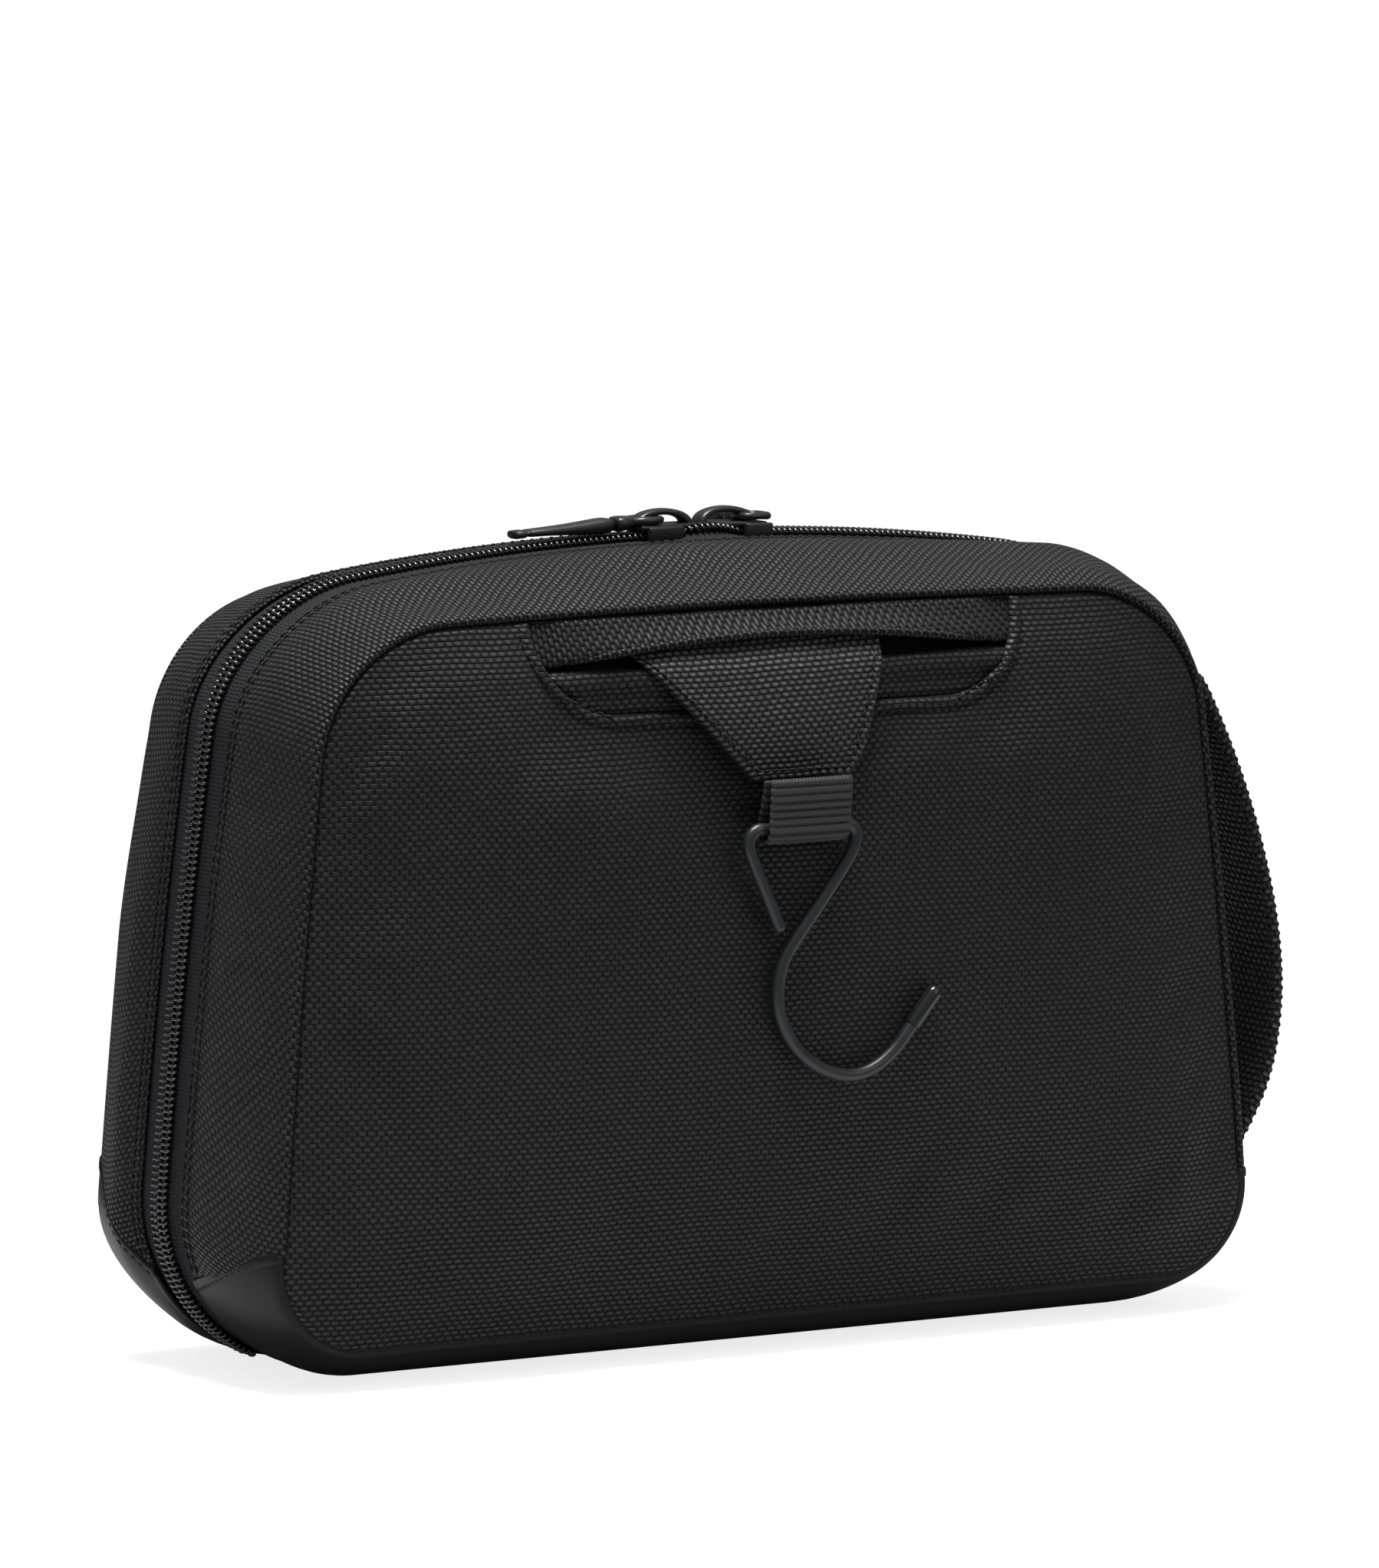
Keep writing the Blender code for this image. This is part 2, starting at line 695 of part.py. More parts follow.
WIRE_R = 1.3
HOOK_Y, HOOK_BAR_Z = -56.0, 122.9
HOOK_AXIS = (0, HOOK_Y, HOOK_BAR_Z)
LOOP_TURN_R = 2.1                # webbing's mid-line round the wire
LOOP_HALF = 10.9
LOOP_THICK = 1.0

# (x, z) along the wire, from the free end at the left over the bar to the hook's tip
HOOK_POINTS = (
    (-7.9, 99.6), (-10.5, 107.0), (-13.3, 115.0), (-14.6, 118.9), (-14.3, 121.4),
    (-12.4, HOOK_BAR_Z), (-9.0, HOOK_BAR_Z), (0.0, HOOK_BAR_Z), (9.0, HOOK_BAR_Z),
    (12.4, HOOK_BAR_Z - 0.2), (13.9, 120.9), (13.3, 117.6), (10.6, 113.6), (3.0, 105.0),
    (-4.0, 97.0), (-7.2, 92.0), (-8.5, 86.2), (-8.2, 80.6), (-5.9, 75.2), (-2.2, 70.6),
    (3.0, 67.0), (8.2, 65.2), (13.2, 65.0), (18.2, 66.7), (23.2, 70.4), (27.4, 75.2))
STEP_R = 0.8                     # the wire's stepped-down end, inside the cap
STEP_LENGTH = 7.0
# (radius, distance past the step) of the cap's outside, from its mouth to its nose
CAP_PROFILE = ((1.1, 0.35), (1.6, 0.35), (1.6, 9.2), (1.45, 10.1), (1.0, 10.8), (0.45, 11.1))
CAP_BORE_END = (1.1, 7.6)


def hook_flap():
    outer, inner = [], []
    for i in range(6):
        t = i / 5
        z = mix(*FLAP_Z, t)
        left, right = [mix(a, b, t) for a, b in zip(FLAP_TOP_X, FLAP_BOTTOM_X)]
        xs = spread(left, right, 6)
        lift = 1.6 + 0.4 * math.sin(math.pi * t)
        # No point lies much further back than the middle, so the flap stays nearly flat.
        rearmost = panel_y(0, z) - lift + 0.6
        ys = [min(panel_y(x, z, lift), rearmost) for x in xs]
        outer.append([(x, y - FLAP_THICK, z) for x, y in zip(xs, ys)])
        inner.append([(x, y, z) for x, y in zip(xs, ys)])
    place(finish("hook_flap", slab(outer, inner), CLOTH), FLAP_AXIS)


def webbing_loop():
    """A folded strip: down the front, round the wire and up the back."""
    front_y, back_y = HOOK_Y - LOOP_TURN_R, HOOK_Y + LOOP_TURN_R
    points = [(-57.9, 133.4), (-58.2, 128.0), (front_y, HOOK_BAR_Z)]
    for k in range(1, 8):
        w = math.pi * k / 8
        points.append((HOOK_Y - LOOP_TURN_R * math.cos(w),
                       HOOK_BAR_Z - LOOP_TURN_R * math.sin(w)))
    points += [(back_y, HOOK_BAR_Z), (-54.6, 127.0), (-56.2, 130.5), (-56.5, 133.4)]
    path = [Vector((0, y, z)) for y, z in points]
    outer, inner = [], []
    for i, p in enumerate(path):
        along = tangent(path, i)
        normal = Vector((0, along.z, -along.y))
        for rows, off in ((outer, LOOP_THICK / 2), (inner, -LOOP_THICK / 2)):
            q = p + normal * off
            rows.append([(-LOOP_HALF, q.y, q.z), (LOOP_HALF, q.y, q.z)])
    place(finish("hook_loop", slab(outer, inner), WEB), FLAP_AXIS)


def wire_hook():
    """The bent wire; returns where its tip steps down, and its heading there."""
    path = spline([Vector((x, HOOK_Y, z)) for x, z in HOOK_POINTS], 2)
    step = path[-1]
    heading = (path[-1] - path[-2]).normalized()
    radii = [WIRE_R] * len(path) + [STEP_R, STEP_R]
    path += [step + heading * 0.02, step + heading * STEP_LENGTH]
    bm = tube(path, radii, sides=8, up=Vector((0, 1, 0)))
    place(finish("wire_hook", bm, WIRE), HOOK_AXIS)
    return step, heading


def tip_cap(start, heading):
    """A sleeve with a closed round nose over the wire's stepped-down end."""
    bm = bmesh.new()
    a = Vector((0, 1, 0))
    b = heading.cross(a)

    def ring(radius, distance):
        return add_verts(bm, circle(start + heading * distance, a, b, radius, 10))

    rings = [ring(*station) for station in CAP_PROFILE]
    bore_end = ring(*CAP_BORE_END)
    strips(bm, rings, closed=True)
    strip(bm, rings[0], bore_end, closed=True, flip=True)
    bm.faces.new(rings[-1])
    bm.faces.new(bore_end[::-1])
    place(finish("hook_tip_cap", bm, RUBBER), HOOK_AXIS)


hook_flap()
webbing_loop()
tip_cap(*wire_hook())

# ================================================================ grab handle
HANDLE_Y0, HANDLE_Y1 = -37.0, -13.0
HANDLE_MID_Y = (HANDLE_Y0 + HANDLE_Y1) / 2
HANDLE_CANT = 0.24        # the strap leans with the side wall
HANDLE_THICK = 2.4
HANDLE_PIVOT = (121.5, HANDLE_MID_Y, 150.0)
# (x, z) of the strap's outer face at its middle, from the top down
HANDLE_POINTS = (
    (126.6, 151.0), (129.6, 145.0), (135.0, 131.5), (140.4, 114.0), (144.6, 95.0),
    (146.6, 74.0), (146.2, 57.0), (144.0, 44.0), (141.6, 34.0))
ANCHOR_INSET = 1.5        # anchors are this much narrower at each edge


def side_x(z, y, off):
    """x of the right side wall at height z, moved off outwards."""
    outline = wall_outline(y)
    return -outline.at(outline.u_at_height(z), off).x


def grab_handle():
    path = spline([Vector((x, 0, z)) for x, z in HANDLE_POINTS], 2)
    ys = (HANDLE_Y0, HANDLE_MID_Y, HANDLE_Y1)
    outer, inner = [], []
    for i, p in enumerate(path):
        along = tangent(path, i)
        normal = Vector((-along.z, 0, along.x))
        if normal.x < 0:
            normal = -normal
        for rows, q in ((outer, p), (inner, p - normal * HANDLE_THICK)):
            rows.append([(q.x + HANDLE_CANT * (y - HANDLE_MID_Y), y, q.z) for y in ys])
    place(finish("grab_handle", slab(outer, inner), WEB), HANDLE_PIVOT)


def handle_anchor(name, zs):
    ys = (HANDLE_Y0 + ANCHOR_INSET, HANDLE_MID_Y, HANDLE_Y1 - ANCHOR_INSET)
    outer, inner = [[[(side_x(z, y, off), y, z) for y in ys] for z in zs]
                    for off in (1.3, 0.35)]
    finish(name, slab(outer, inner), WEB)


grab_handle()
handle_anchor("handle_anchor_upper", (135.0, 141.0, 146.0))
handle_anchor("handle_anchor_lower", (38.0, 44.0, 50.0))

# ================================================================ slip pocket, hook side
SLIP_Z = (16.0, 40.0, 66.0, 92.0)
SLIP_HALF = 118.0         # half width at the foot
SLIP_TAPER = 0.09         # half width lost per unit height
SLIP_Y = -32.4
SLIP_SAG = 1.6
SLIP_SAG_SPAN = 110.0     # the sag is a half wave of this height
ELASTIC_HALF = 110.6
ELASTIC_Y = -32.1
ELASTIC_Z = 94.2
ELASTIC_R = 1.6


def slip_sag(share, z):
    """Sag towards the zip plane at a share of the half width."""
    wave = math.sin(math.pi * min(1, (z - SLIP_Z[0]) / SLIP_SAG_SPAN))
    return SLIP_SAG * (1 - share ** 2) * wave


def slip_pocket():
    outer, inner = [], []
    for z in SLIP_Z:
        half = SLIP_HALF - (z - SLIP_Z[0]) * SLIP_TAPER
        points = [(s * half, SLIP_Y + slip_sag(s, z)) for s in spread(-1, 1, 8)]
        outer.append([(x, y, z) for x, y in points])
        inner.append([(x, y + 0.6, z) for x, y in points])
    finish("slip_pocket_mesh", slab(outer, inner), MESH)
    path = [Vector((s * ELASTIC_HALF, ELASTIC_Y + slip_sag(s, SLIP_Z[-1]), ELASTIC_Z))
            for s in spread(-1, 1, 12)]
    bm = tube(path, [ELASTIC_R] * len(path), sides=8, up=Vector((0, 0, 1)))
    finish("slip_pocket_elastic", bm, WEB)


slip_pocket()

# ================================================================ mesh cover in the lid
COVER_Y = 15.4
COVER_THICK = 0.7
COVER_INSET = 4.2         # inside the wall's outer surface
COVER_LOW = 6.0
INNER_ZIP_Z = 138.0

# name, look, (x from, x to), (y from, y to) from COVER_Y, (z from, z to) from
# INNER_ZIP_Z, bevel
INNER_ZIP = (
    ("inner_zip_tape", TAPE, (-97.6, 97.6), (0.05, 0.65), (-5.6, 5.6), 0.0),
    ("inner_zip_coil", COIL, (-95.0, 95.0), (-1.75, -0.25), (-2.4, 2.4), 0.5),
    ("inner_slider", CAST, (-92.0, -82.0), (-3.3, -2.05), (-3.9, 3.9), 0.35),
    ("inner_slider_pull", CAST, (-89.0, -85.0), (-4.9, -3.65), (-21.5, 1.5), 0.35))
INNER_PULL_PIVOT = (-87.0, COVER_Y - 4.3, INNER_ZIP_Z + 0.5)


def inner_zip_box(xs, ys, zs, bevel=0.0):
    low, high = [(x, COVER_Y + y, INNER_ZIP_Z + z) for x, y, z in zip(xs, ys, zs)]
    return box(low, high, bevel)


def mesh_cover():
    """A flat sheet across the lid with an opening for its own zip."""
    outline = wall_outline(COVER_Y)
    points = [outline.at(u, -COVER_INSET) for u in loop_samples(COARSE)]
    front, back = [[(q.x, y, max(q.y, COVER_LOW)) for q in points]
                   for y in (COVER_Y, COVER_Y + COVER_THICK)]
    cover = finish("mesh_cover", prism(front, back), MESH)
    boolean(cover, guide("cover_cutter", inner_zip_box((-98.0, 98.0), (-3, 3), (-6.0, 6.0))))


mesh_cover()
for part, part_look, part_x, part_y, part_z, part_bevel in INNER_ZIP:
    part_ob = finish(part, inner_zip_box(part_x, part_y, part_z, part_bevel), part_look,
                     smooth=part != "inner_zip_tape")
    if part == "inner_slider_pull":
        place(part_ob, INNER_PULL_PIVOT)

# ================================================================ zip sliders
SLIDER_LEFT_X = -4.6
SLIDER_RIGHT_X = 14.2
SLIDER_HALF = 15.6 / 2
PLATE_LO, PLATE_HI = 1.6, 2.8
CROWN_TOP = 6.3           # top of the bridge
BRIDGE_HALF = 2.0         # half width of the bridge

# (x as a share of the half length, y) round the slider's plate
SLIDER_PLATE = ((-1, -4.6), (-1, 4.6), (0.35, 4.9), (0.8, 5.6),
                (1, 3.6), (1, -3.6), (0.8, -5.6), (0.35, -4.9))

PIN_H = 3.9               # height of the link's pivot in the bridge
LINK_BAR_X = -13.4        # end bar of the link, where the tab turns
# (x, y) round the link, with its pivot at the origin and its shank along -X
LINK_PLATE = ((0.7, -3.0), (0.7, 3.0), (0.2, 4.4), (-5.8, 4.4), (-9.5, 2.9), (-13.2, 2.9),
              (-14.2, 2.0), (-14.2, -2.0), (-13.2, -2.9), (-9.5, -2.9), (-5.8, -4.4),
              (0.2, -4.4))
LINK_HALF_THICK = 0.55
# helper suffix, low corner, high corner of the link's two openings
LINK_HOLES = (("_window", (-6.0, -2.5, -3), (-0.7, 2.5, 3)),
              ("_eye", (-12.6, -1.6, -3), (-8.6, 1.6, 3)))

# (x, y) round the tab's tongue
TAB_PLATE = ((-15.2, 1.2), (-17.0, 2.6), (-19.0, 3.1), (-37.0, 2.3), (-37.8, 1.6),
             (-37.8, -1.6), (-37.0, -2.3), (-19.0, -3.1), (-17.0, -2.6), (-15.2, -1.2))
TAB_HALF_THICK = 0.95
TAB_RING_OUT, TAB_RING_IN = 2.25, 1.25
TAB_RING_HALF = 1.3


def arc_frame(x):
    """Position and tilt of the zip's top run at x."""
    z = ZIP_TOP + math.sqrt(ZIP_ARC_RADIUS ** 2 - x * x) - ZIP_ARC_RADIUS
    tilt = Matrix.Rotation(math.asin(x / ZIP_ARC_RADIUS), 4, "Y")
    return Matrix.Translation(Vector((x, 0, z)) * MM) @ tilt


def arch(half, foot, top):
    """(x, z) points of an arch from -half to half."""
    angles = [math.pi * k / 14 for k in range(15)]
    return [(-half * math.cos(w), foot + (top - foot) * math.sin(w) ** 0.75) for w in angles]


def slider(name, frame, heading):
    """The slider's body: a plate over the chain and the bridge that the pull hangs
    on. heading is 1 or -1, the way its wide end points along X."""
    bridge = hollow_guide(
        name + "_bridge",
        arch(SLIDER_HALF * 0.93, PLATE_HI - 0.4, CROWN_TOP),
        arch(SLIDER_HALF * 0.52, PLATE_HI + 0.05, CROWN_TOP - 1.3),
        BRIDGE_HALF, closed=False)
    points = [(heading * share * SLIDER_HALF, y) for share, y in SLIDER_PLATE]
    body = finish(name, prism([(x, y, PLATE_LO) for x, y in points],
                              [(x * 0.99, y * 0.97, PLATE_HI) for x, y in points]), CAST)
    boolean(body, bridge, "UNION")
    for ob in (body, bridge):
        ob.matrix_world = frame


def pull_link(name, frame):
    """Ring that passes through the bridge, with a tapered shank and an end bar."""
    link = finish(name, plate(LINK_PLATE, LINK_HALF_THICK), CAST)
    link.matrix_world = frame
    for suffix, low, high in LINK_HOLES:
        cutter = guide(name + suffix, box(low, high))
        boolean(link, cutter)
        cutter.matrix_world = frame


def pull_tab(name, frame):
    """Tongue with a ring at its end that passes through the link's eye."""
    angles = [2 * math.pi * k / 12 for k in range(12)]
    outer, hole = [[(LINK_BAR_X + r * math.cos(w), r * math.sin(w)) for w in angles]
                   for r in (TAB_RING_OUT, TAB_RING_IN)]
    ring = hollow_guide(name + "_ring", outer, hole, TAB_RING_HALF, closed=True)
    tab = finish(name, plate(TAB_PLATE, TAB_HALF_THICK), RUBBER)
    boolean(tab, ring, "UNION")
    for ob in (tab, ring):
        ob.matrix_world = frame


def slider_set(tag, x, heading, offset, turn, droop, tab_droop):
    """A slider with its link and tab. offset is where the link's pivot sits in the
    bridge, turn its heading about Z, droop the slope of the link, tab_droop the tab's
    further slope about the end bar; angles are in degrees."""
    frame = arc_frame(x)
    slider("slider_" + tag, frame, heading)
    base = frame @ (Matrix.Translation(Vector(offset) * MM)
                    @ Matrix.Rotation(math.radians(turn), 4, "Z")
                    @ Matrix.Rotation(math.radians(droop), 4, "Y"))
    pull_link("pull_link_" + tag, base)
    bar = Vector((LINK_BAR_X, 0, 0)) * MM
    pull_tab("pull_tab_" + tag, base @ Matrix.Translation(bar)
             @ Matrix.Rotation(math.radians(tab_droop), 4, "Y") @ Matrix.Translation(-bar))


slider_set("left", SLIDER_LEFT_X, heading=1, offset=(-1.6, 0, PIN_H),
           turn=0.0, droop=-2.0, tab_droop=-1.0)
slider_set("right", SLIDER_RIGHT_X, heading=-1, offset=(5.35, -3.35, PIN_H),
           turn=-90.0, droop=-2.0, tab_droop=-13.0)
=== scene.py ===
"""A soft zipped case of black cloth, standing on its base.

X runs along its width, Y through its thickness, Z up from the ground. The zip plane is y = 0:
the half with the wire hook lies on -Y, the lid on +Y. Left means -X. Code lengths are in
millimetres; meshes are stored in metres. Around a wall, "turn" runs from 0 at the bottom
centre over 0.25 at the left to 0.5 at the top, and "depth" is the distance from the zip plane.
"""
import json
import math

import bmesh
import bpy
import numpy as np
from mathutils import Matrix, Vector
from mathutils.geometry import delaunay_2d_cdt


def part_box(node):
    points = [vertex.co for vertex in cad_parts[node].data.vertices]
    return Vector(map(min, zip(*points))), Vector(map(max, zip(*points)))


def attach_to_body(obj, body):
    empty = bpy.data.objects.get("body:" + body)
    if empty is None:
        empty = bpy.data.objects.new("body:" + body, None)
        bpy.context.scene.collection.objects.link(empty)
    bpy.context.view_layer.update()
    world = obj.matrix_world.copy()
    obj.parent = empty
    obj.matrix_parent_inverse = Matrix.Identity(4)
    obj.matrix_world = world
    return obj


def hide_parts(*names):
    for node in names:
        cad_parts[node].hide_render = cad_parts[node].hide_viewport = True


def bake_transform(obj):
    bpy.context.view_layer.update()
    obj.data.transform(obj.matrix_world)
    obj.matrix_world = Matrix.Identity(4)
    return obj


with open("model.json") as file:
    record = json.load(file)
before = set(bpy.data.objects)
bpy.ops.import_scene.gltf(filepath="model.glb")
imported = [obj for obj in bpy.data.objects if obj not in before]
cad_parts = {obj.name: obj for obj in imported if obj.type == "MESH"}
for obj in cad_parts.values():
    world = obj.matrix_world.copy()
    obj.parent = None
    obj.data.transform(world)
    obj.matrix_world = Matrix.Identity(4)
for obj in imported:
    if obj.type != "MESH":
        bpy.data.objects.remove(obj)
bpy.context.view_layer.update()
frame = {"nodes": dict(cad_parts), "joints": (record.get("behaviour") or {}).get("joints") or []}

MM = 0.001
JOINTS = {joint["name"]: joint for joint in frame["joints"]}


def cad(node):
    """Lowest and highest corner of a CAD node's box, in millimetres."""
    low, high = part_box(node)
    return Vector(low) * 1000, Vector(high) * 1000


# ------------------------------------------------------------ sizes
COIL_RISE = 1.25
ZIP_TOP = cad("zip_coil_hook_side")[1].z - COIL_RISE
ZIP_HALF_TOP, ZIP_HALF_BOTTOM = 120.5, 140.0
ZIP_ARC_RADIUS, SEAM_ARC_RADIUS = 640.0, 6000.0
ZIP_CORNER_TOP, ZIP_CORNER_BOTTOM = 36.0, 38.0
ZIP_BOW, SEAM_BOW = 2.6, 1.1                # how far the sides bow outwards
ZIP_END_Z = 3.6
PANEL_HALF_TOP, PANEL_HALF_BOTTOM = 115.7, 132.0
PANEL_BOTTOM = cad("hook_side_panel")[0].z - 1.8
PANEL_TOP = 173.4
PANEL_CORNER_TOP, PANEL_CORNER_BOTTOM, LID_CORNER_BOTTOM = 34.0, 21.0, 28.0
PANEL_DEPTH, PANEL_LEAN, PANEL_BULGE = 43.6, 0.0133, 9.0
LID_DEPTH = cad("lid_panel")[1].y - 8.0
LID_GROW, LID_BULGE = 2.6, 8.0
BASE_FLAT, LID_BASE_FLAT = 17.0, 14.0       # depth to which the base lies on the ground
TAPE_HALF = 11.0
FOLD = 9.8                                  # depth of the cloth's fold beside the zip
HEM_SEAM_Z, HEM_TAPE_Z, LID_HEM_RISE = 34.0, 23.5, 13.0
HEM_STITCH = 2.75                           # hem stitching's distance from the hem's edge
SEAM_INSET = 1.35
CENTRE_Z = 91.0
SLOT_FLOOR, SLOT_TOP = 150.2, 171.4
SLOT_HALF_FLOOR, SLOT_HALF_TOP = 46.0, 64.5
HOOK_Y = sum(corner.y for corner in cad("wire_hook")) / 2
HOOK_BAR_Z = JOINTS["wire_hook_swing"]["pos_m"][2] * 1000


# ------------------------------------------------------------ array helpers
def columns(*parts):
    return np.stack(np.broadcast_arrays(*parts), -1)


def unit(vectors):
    return vectors / np.maximum(np.linalg.norm(vectors, axis=-1, keepdims=True), 1e-9)


def distances(path):
    """Distance run along a path's first axis."""
    steps = np.linalg.norm(np.diff(path, axis=0), axis=-1)
    return np.concatenate([np.zeros_like(steps[:1]), np.cumsum(steps, axis=0)])


def along(path, run, at):
    """Points of a path at given distances."""
    return np.stack([np.interp(at, run, column) for column in path.T], 1)


def closed(loop):
    return np.vstack([loop, loop[:1]])


def resample(loop, step):
    """Closed loop at an even step."""
    path = closed(np.asarray(loop, float))
    run = distances(path)
    count = max(8, int(round(run[-1] / step)))
    return along(path, run, np.linspace(0, run[-1], count, endpoint=False))


def even(path, step):
    """Open path at an even step."""
    path = np.asarray(path, float)
    run = distances(path)
    count = max(2, int(round(run[-1] / step)) + 1)
    return along(path, run, np.linspace(0, run[-1], count))


def spline(points, per):
    """Catmull-Rom curve through points, per steps between two of them."""
    points = [np.asarray(p, float) for p in points]
    last = len(points) - 1
    out = []
    for i in range(last):
        before, start, end = points[max(i - 1, 0)], points[i], points[i + 1]
        after = points[min(i + 2, last)]
        for k in range(per):
            t = k / per
            out.append(0.5 * ((2 * start) + (end - before) * t
                              + (2 * before - 5 * start + 4 * end - after) * t * t
                              + (3 * start - before - 3 * end + after) * t ** 3))
    out.append(points[-1])
    return np.array(out)


def inset(loop, off):
    """Closed loop moved off millimetres inwards, whichever way it runs."""
    tangent = unit(np.roll(loop, -1, 0) - np.roll(loop, 1, 0))
    x, z = loop.T
    area = 0.5 * np.sum(x * np.roll(z, -1) - np.roll(x, -1) * z)
    inward = columns(-tangent[:, 1], tangent[:, 0]) * (1 if area > 0 else -1)
    return loop + inward * off


def smooth(low, high, value):
    t = np.clip((np.asarray(value, float) - low) / (high - low), 0, 1)
    return t * t * (3 - 2 * t)


def ease(t, power):
    return max(0.0, min(1.0, t)) ** power


def dip(x, z, centre_x, centre_z, size_x, size_z, tilt=0.0):
    """Soft spot, 1 at its centre, tilted in XZ."""
    c, s = math.cos(tilt), math.sin(tilt)
    a = ((x - centre_x) * c + (z - centre_z) * s) / size_x
    b = (-(x - centre_x) * s + (z - centre_z) * c) / size_z
    return np.exp(-(a * a + b * b))


def waves(x, z, seed, size):
    """Gentle uneven swell between about -1 and 1."""
    random = np.random.default_rng(seed)
    count = 9
    out = 0
    for _ in range(count):
        angle = random.uniform(0, 2 * math.pi)
        rate = 2 * math.pi / (size * random.uniform(0.7, 1.5))
        out = out + np.sin(x * rate * math.cos(angle) + z * rate * math.sin(angle)
                           + random.uniform(0, 6.28))
    return out / math.sqrt(count) * 0.8


# ------------------------------------------------------------ outlines and walls
def fillet(corner, first, second, radius, t):
    """Point at share t of the arc that rounds a corner between two neighbours."""
    to_first, to_second = (first - corner).normalized(), (second - corner).normalized()
    half = to_first.angle(to_second) / 2
    reach = radius / math.tan(half)
    start, end = corner + to_first * reach, corner + to_second * reach
    centre = corner + (to_first + to_second).normalized() * (radius / math.sin(half))
    start_angle = math.atan2(*(start - centre).yx)
    end_angle = math.atan2(*(end - centre).yx)
    sweep_angle = (end_angle - start_angle + math.pi) % (2 * math.pi) - math.pi
    angle = start_angle + sweep_angle * t
    return Vector((centre.x + radius * math.cos(angle), centre.y + radius * math.sin(angle)))


def outline(half_top, half_bottom, bottom, top, radius_top, radius_bottom, arc_radius, bow):
    """Rounded trapezoid in XZ with an arched top, as a function of turn."""
    breaks = (0.14, 0.21, 0.35, 0.42, 0.5)  # turns where corners begin and end
    low_corner, high_corner = Vector((-half_bottom, bottom)), Vector((-half_top, top))
    low_centre, high_centre = Vector((0, bottom)), Vector((0, top))

    def low(t):
        return fillet(low_corner, low_centre, high_corner, radius_bottom, t)

    def high(t):
        return fillet(high_corner, low_corner, high_centre, radius_top, t)

    def left(turn):
        part = next((i for i in range(4) if turn <= breaks[i]), 4)
        start = breaks[part - 1] if part else 0.0
        t = (turn - start) / (breaks[part] - start)
        if part == 0:
            q = low_centre.lerp(low(0), t)
        elif part == 1:
            q = low(t)
        elif part == 2:
            q = low(1).lerp(high(0), t)
        elif part == 3:
            q = high(t)
        else:
            q = high(1).lerp(high_centre, t)
        share = max(0.0, min(1.0, (q.y - bottom) / (top - bottom)))
        side = min(1.0, abs(q.x) / half_bottom) ** 4
        q = Vector((q.x - bow * 4 * share * (1 - share) * side, q.y))
        q.y += (math.sqrt(arc_radius ** 2 - q.x ** 2) - arc_radius) * share ** 3
        return q

    def point(turn):
        if turn <= 0.5:
            return left(turn)[:]
        q = left(1 - turn)
        return -q.x, q.y
    return point


def wall_outline(hook, depth):
    """Outline of the hook half's or the lid's wall at a depth."""
    seam, flat, grow, corner = ((PANEL_DEPTH, BASE_FLAT, 0.0, PANEL_CORNER_BOTTOM) if hook
                                else (LID_DEPTH, LID_BASE_FLAT, LID_GROW, LID_CORNER_BOTTOM))
    share = ease((depth - TAPE_HALF) / (seam - TAPE_HALF), 1.25)
    rise = ease((depth - flat) / (seam - flat), 2.2)

    def mix(at_zip, at_seam):
        return at_zip + (at_seam - at_zip) * share

    arc = (ZIP_ARC_RADIUS if share < 1e-6
           else 1 / ((1 - share) / ZIP_ARC_RADIUS + share / SEAM_ARC_RADIUS))
    return outline(mix(ZIP_HALF_TOP, PANEL_HALF_TOP + grow),
                   mix(ZIP_HALF_BOTTOM, PANEL_HALF_BOTTOM + grow),
                   PANEL_BOTTOM * rise, mix(ZIP_TOP, PANEL_TOP + grow),
                   mix(ZIP_CORNER_TOP, PANEL_CORNER_TOP), mix(ZIP_CORNER_BOTTOM, corner),
                   arc, mix(ZIP_BOW, SEAM_BOW))


def leaning_depth(z):
    """Depth of the hook side's seam, which leans towards the zip as it rises."""
    return PANEL_DEPTH - PANEL_LEAN * (z - PANEL_BOTTOM)


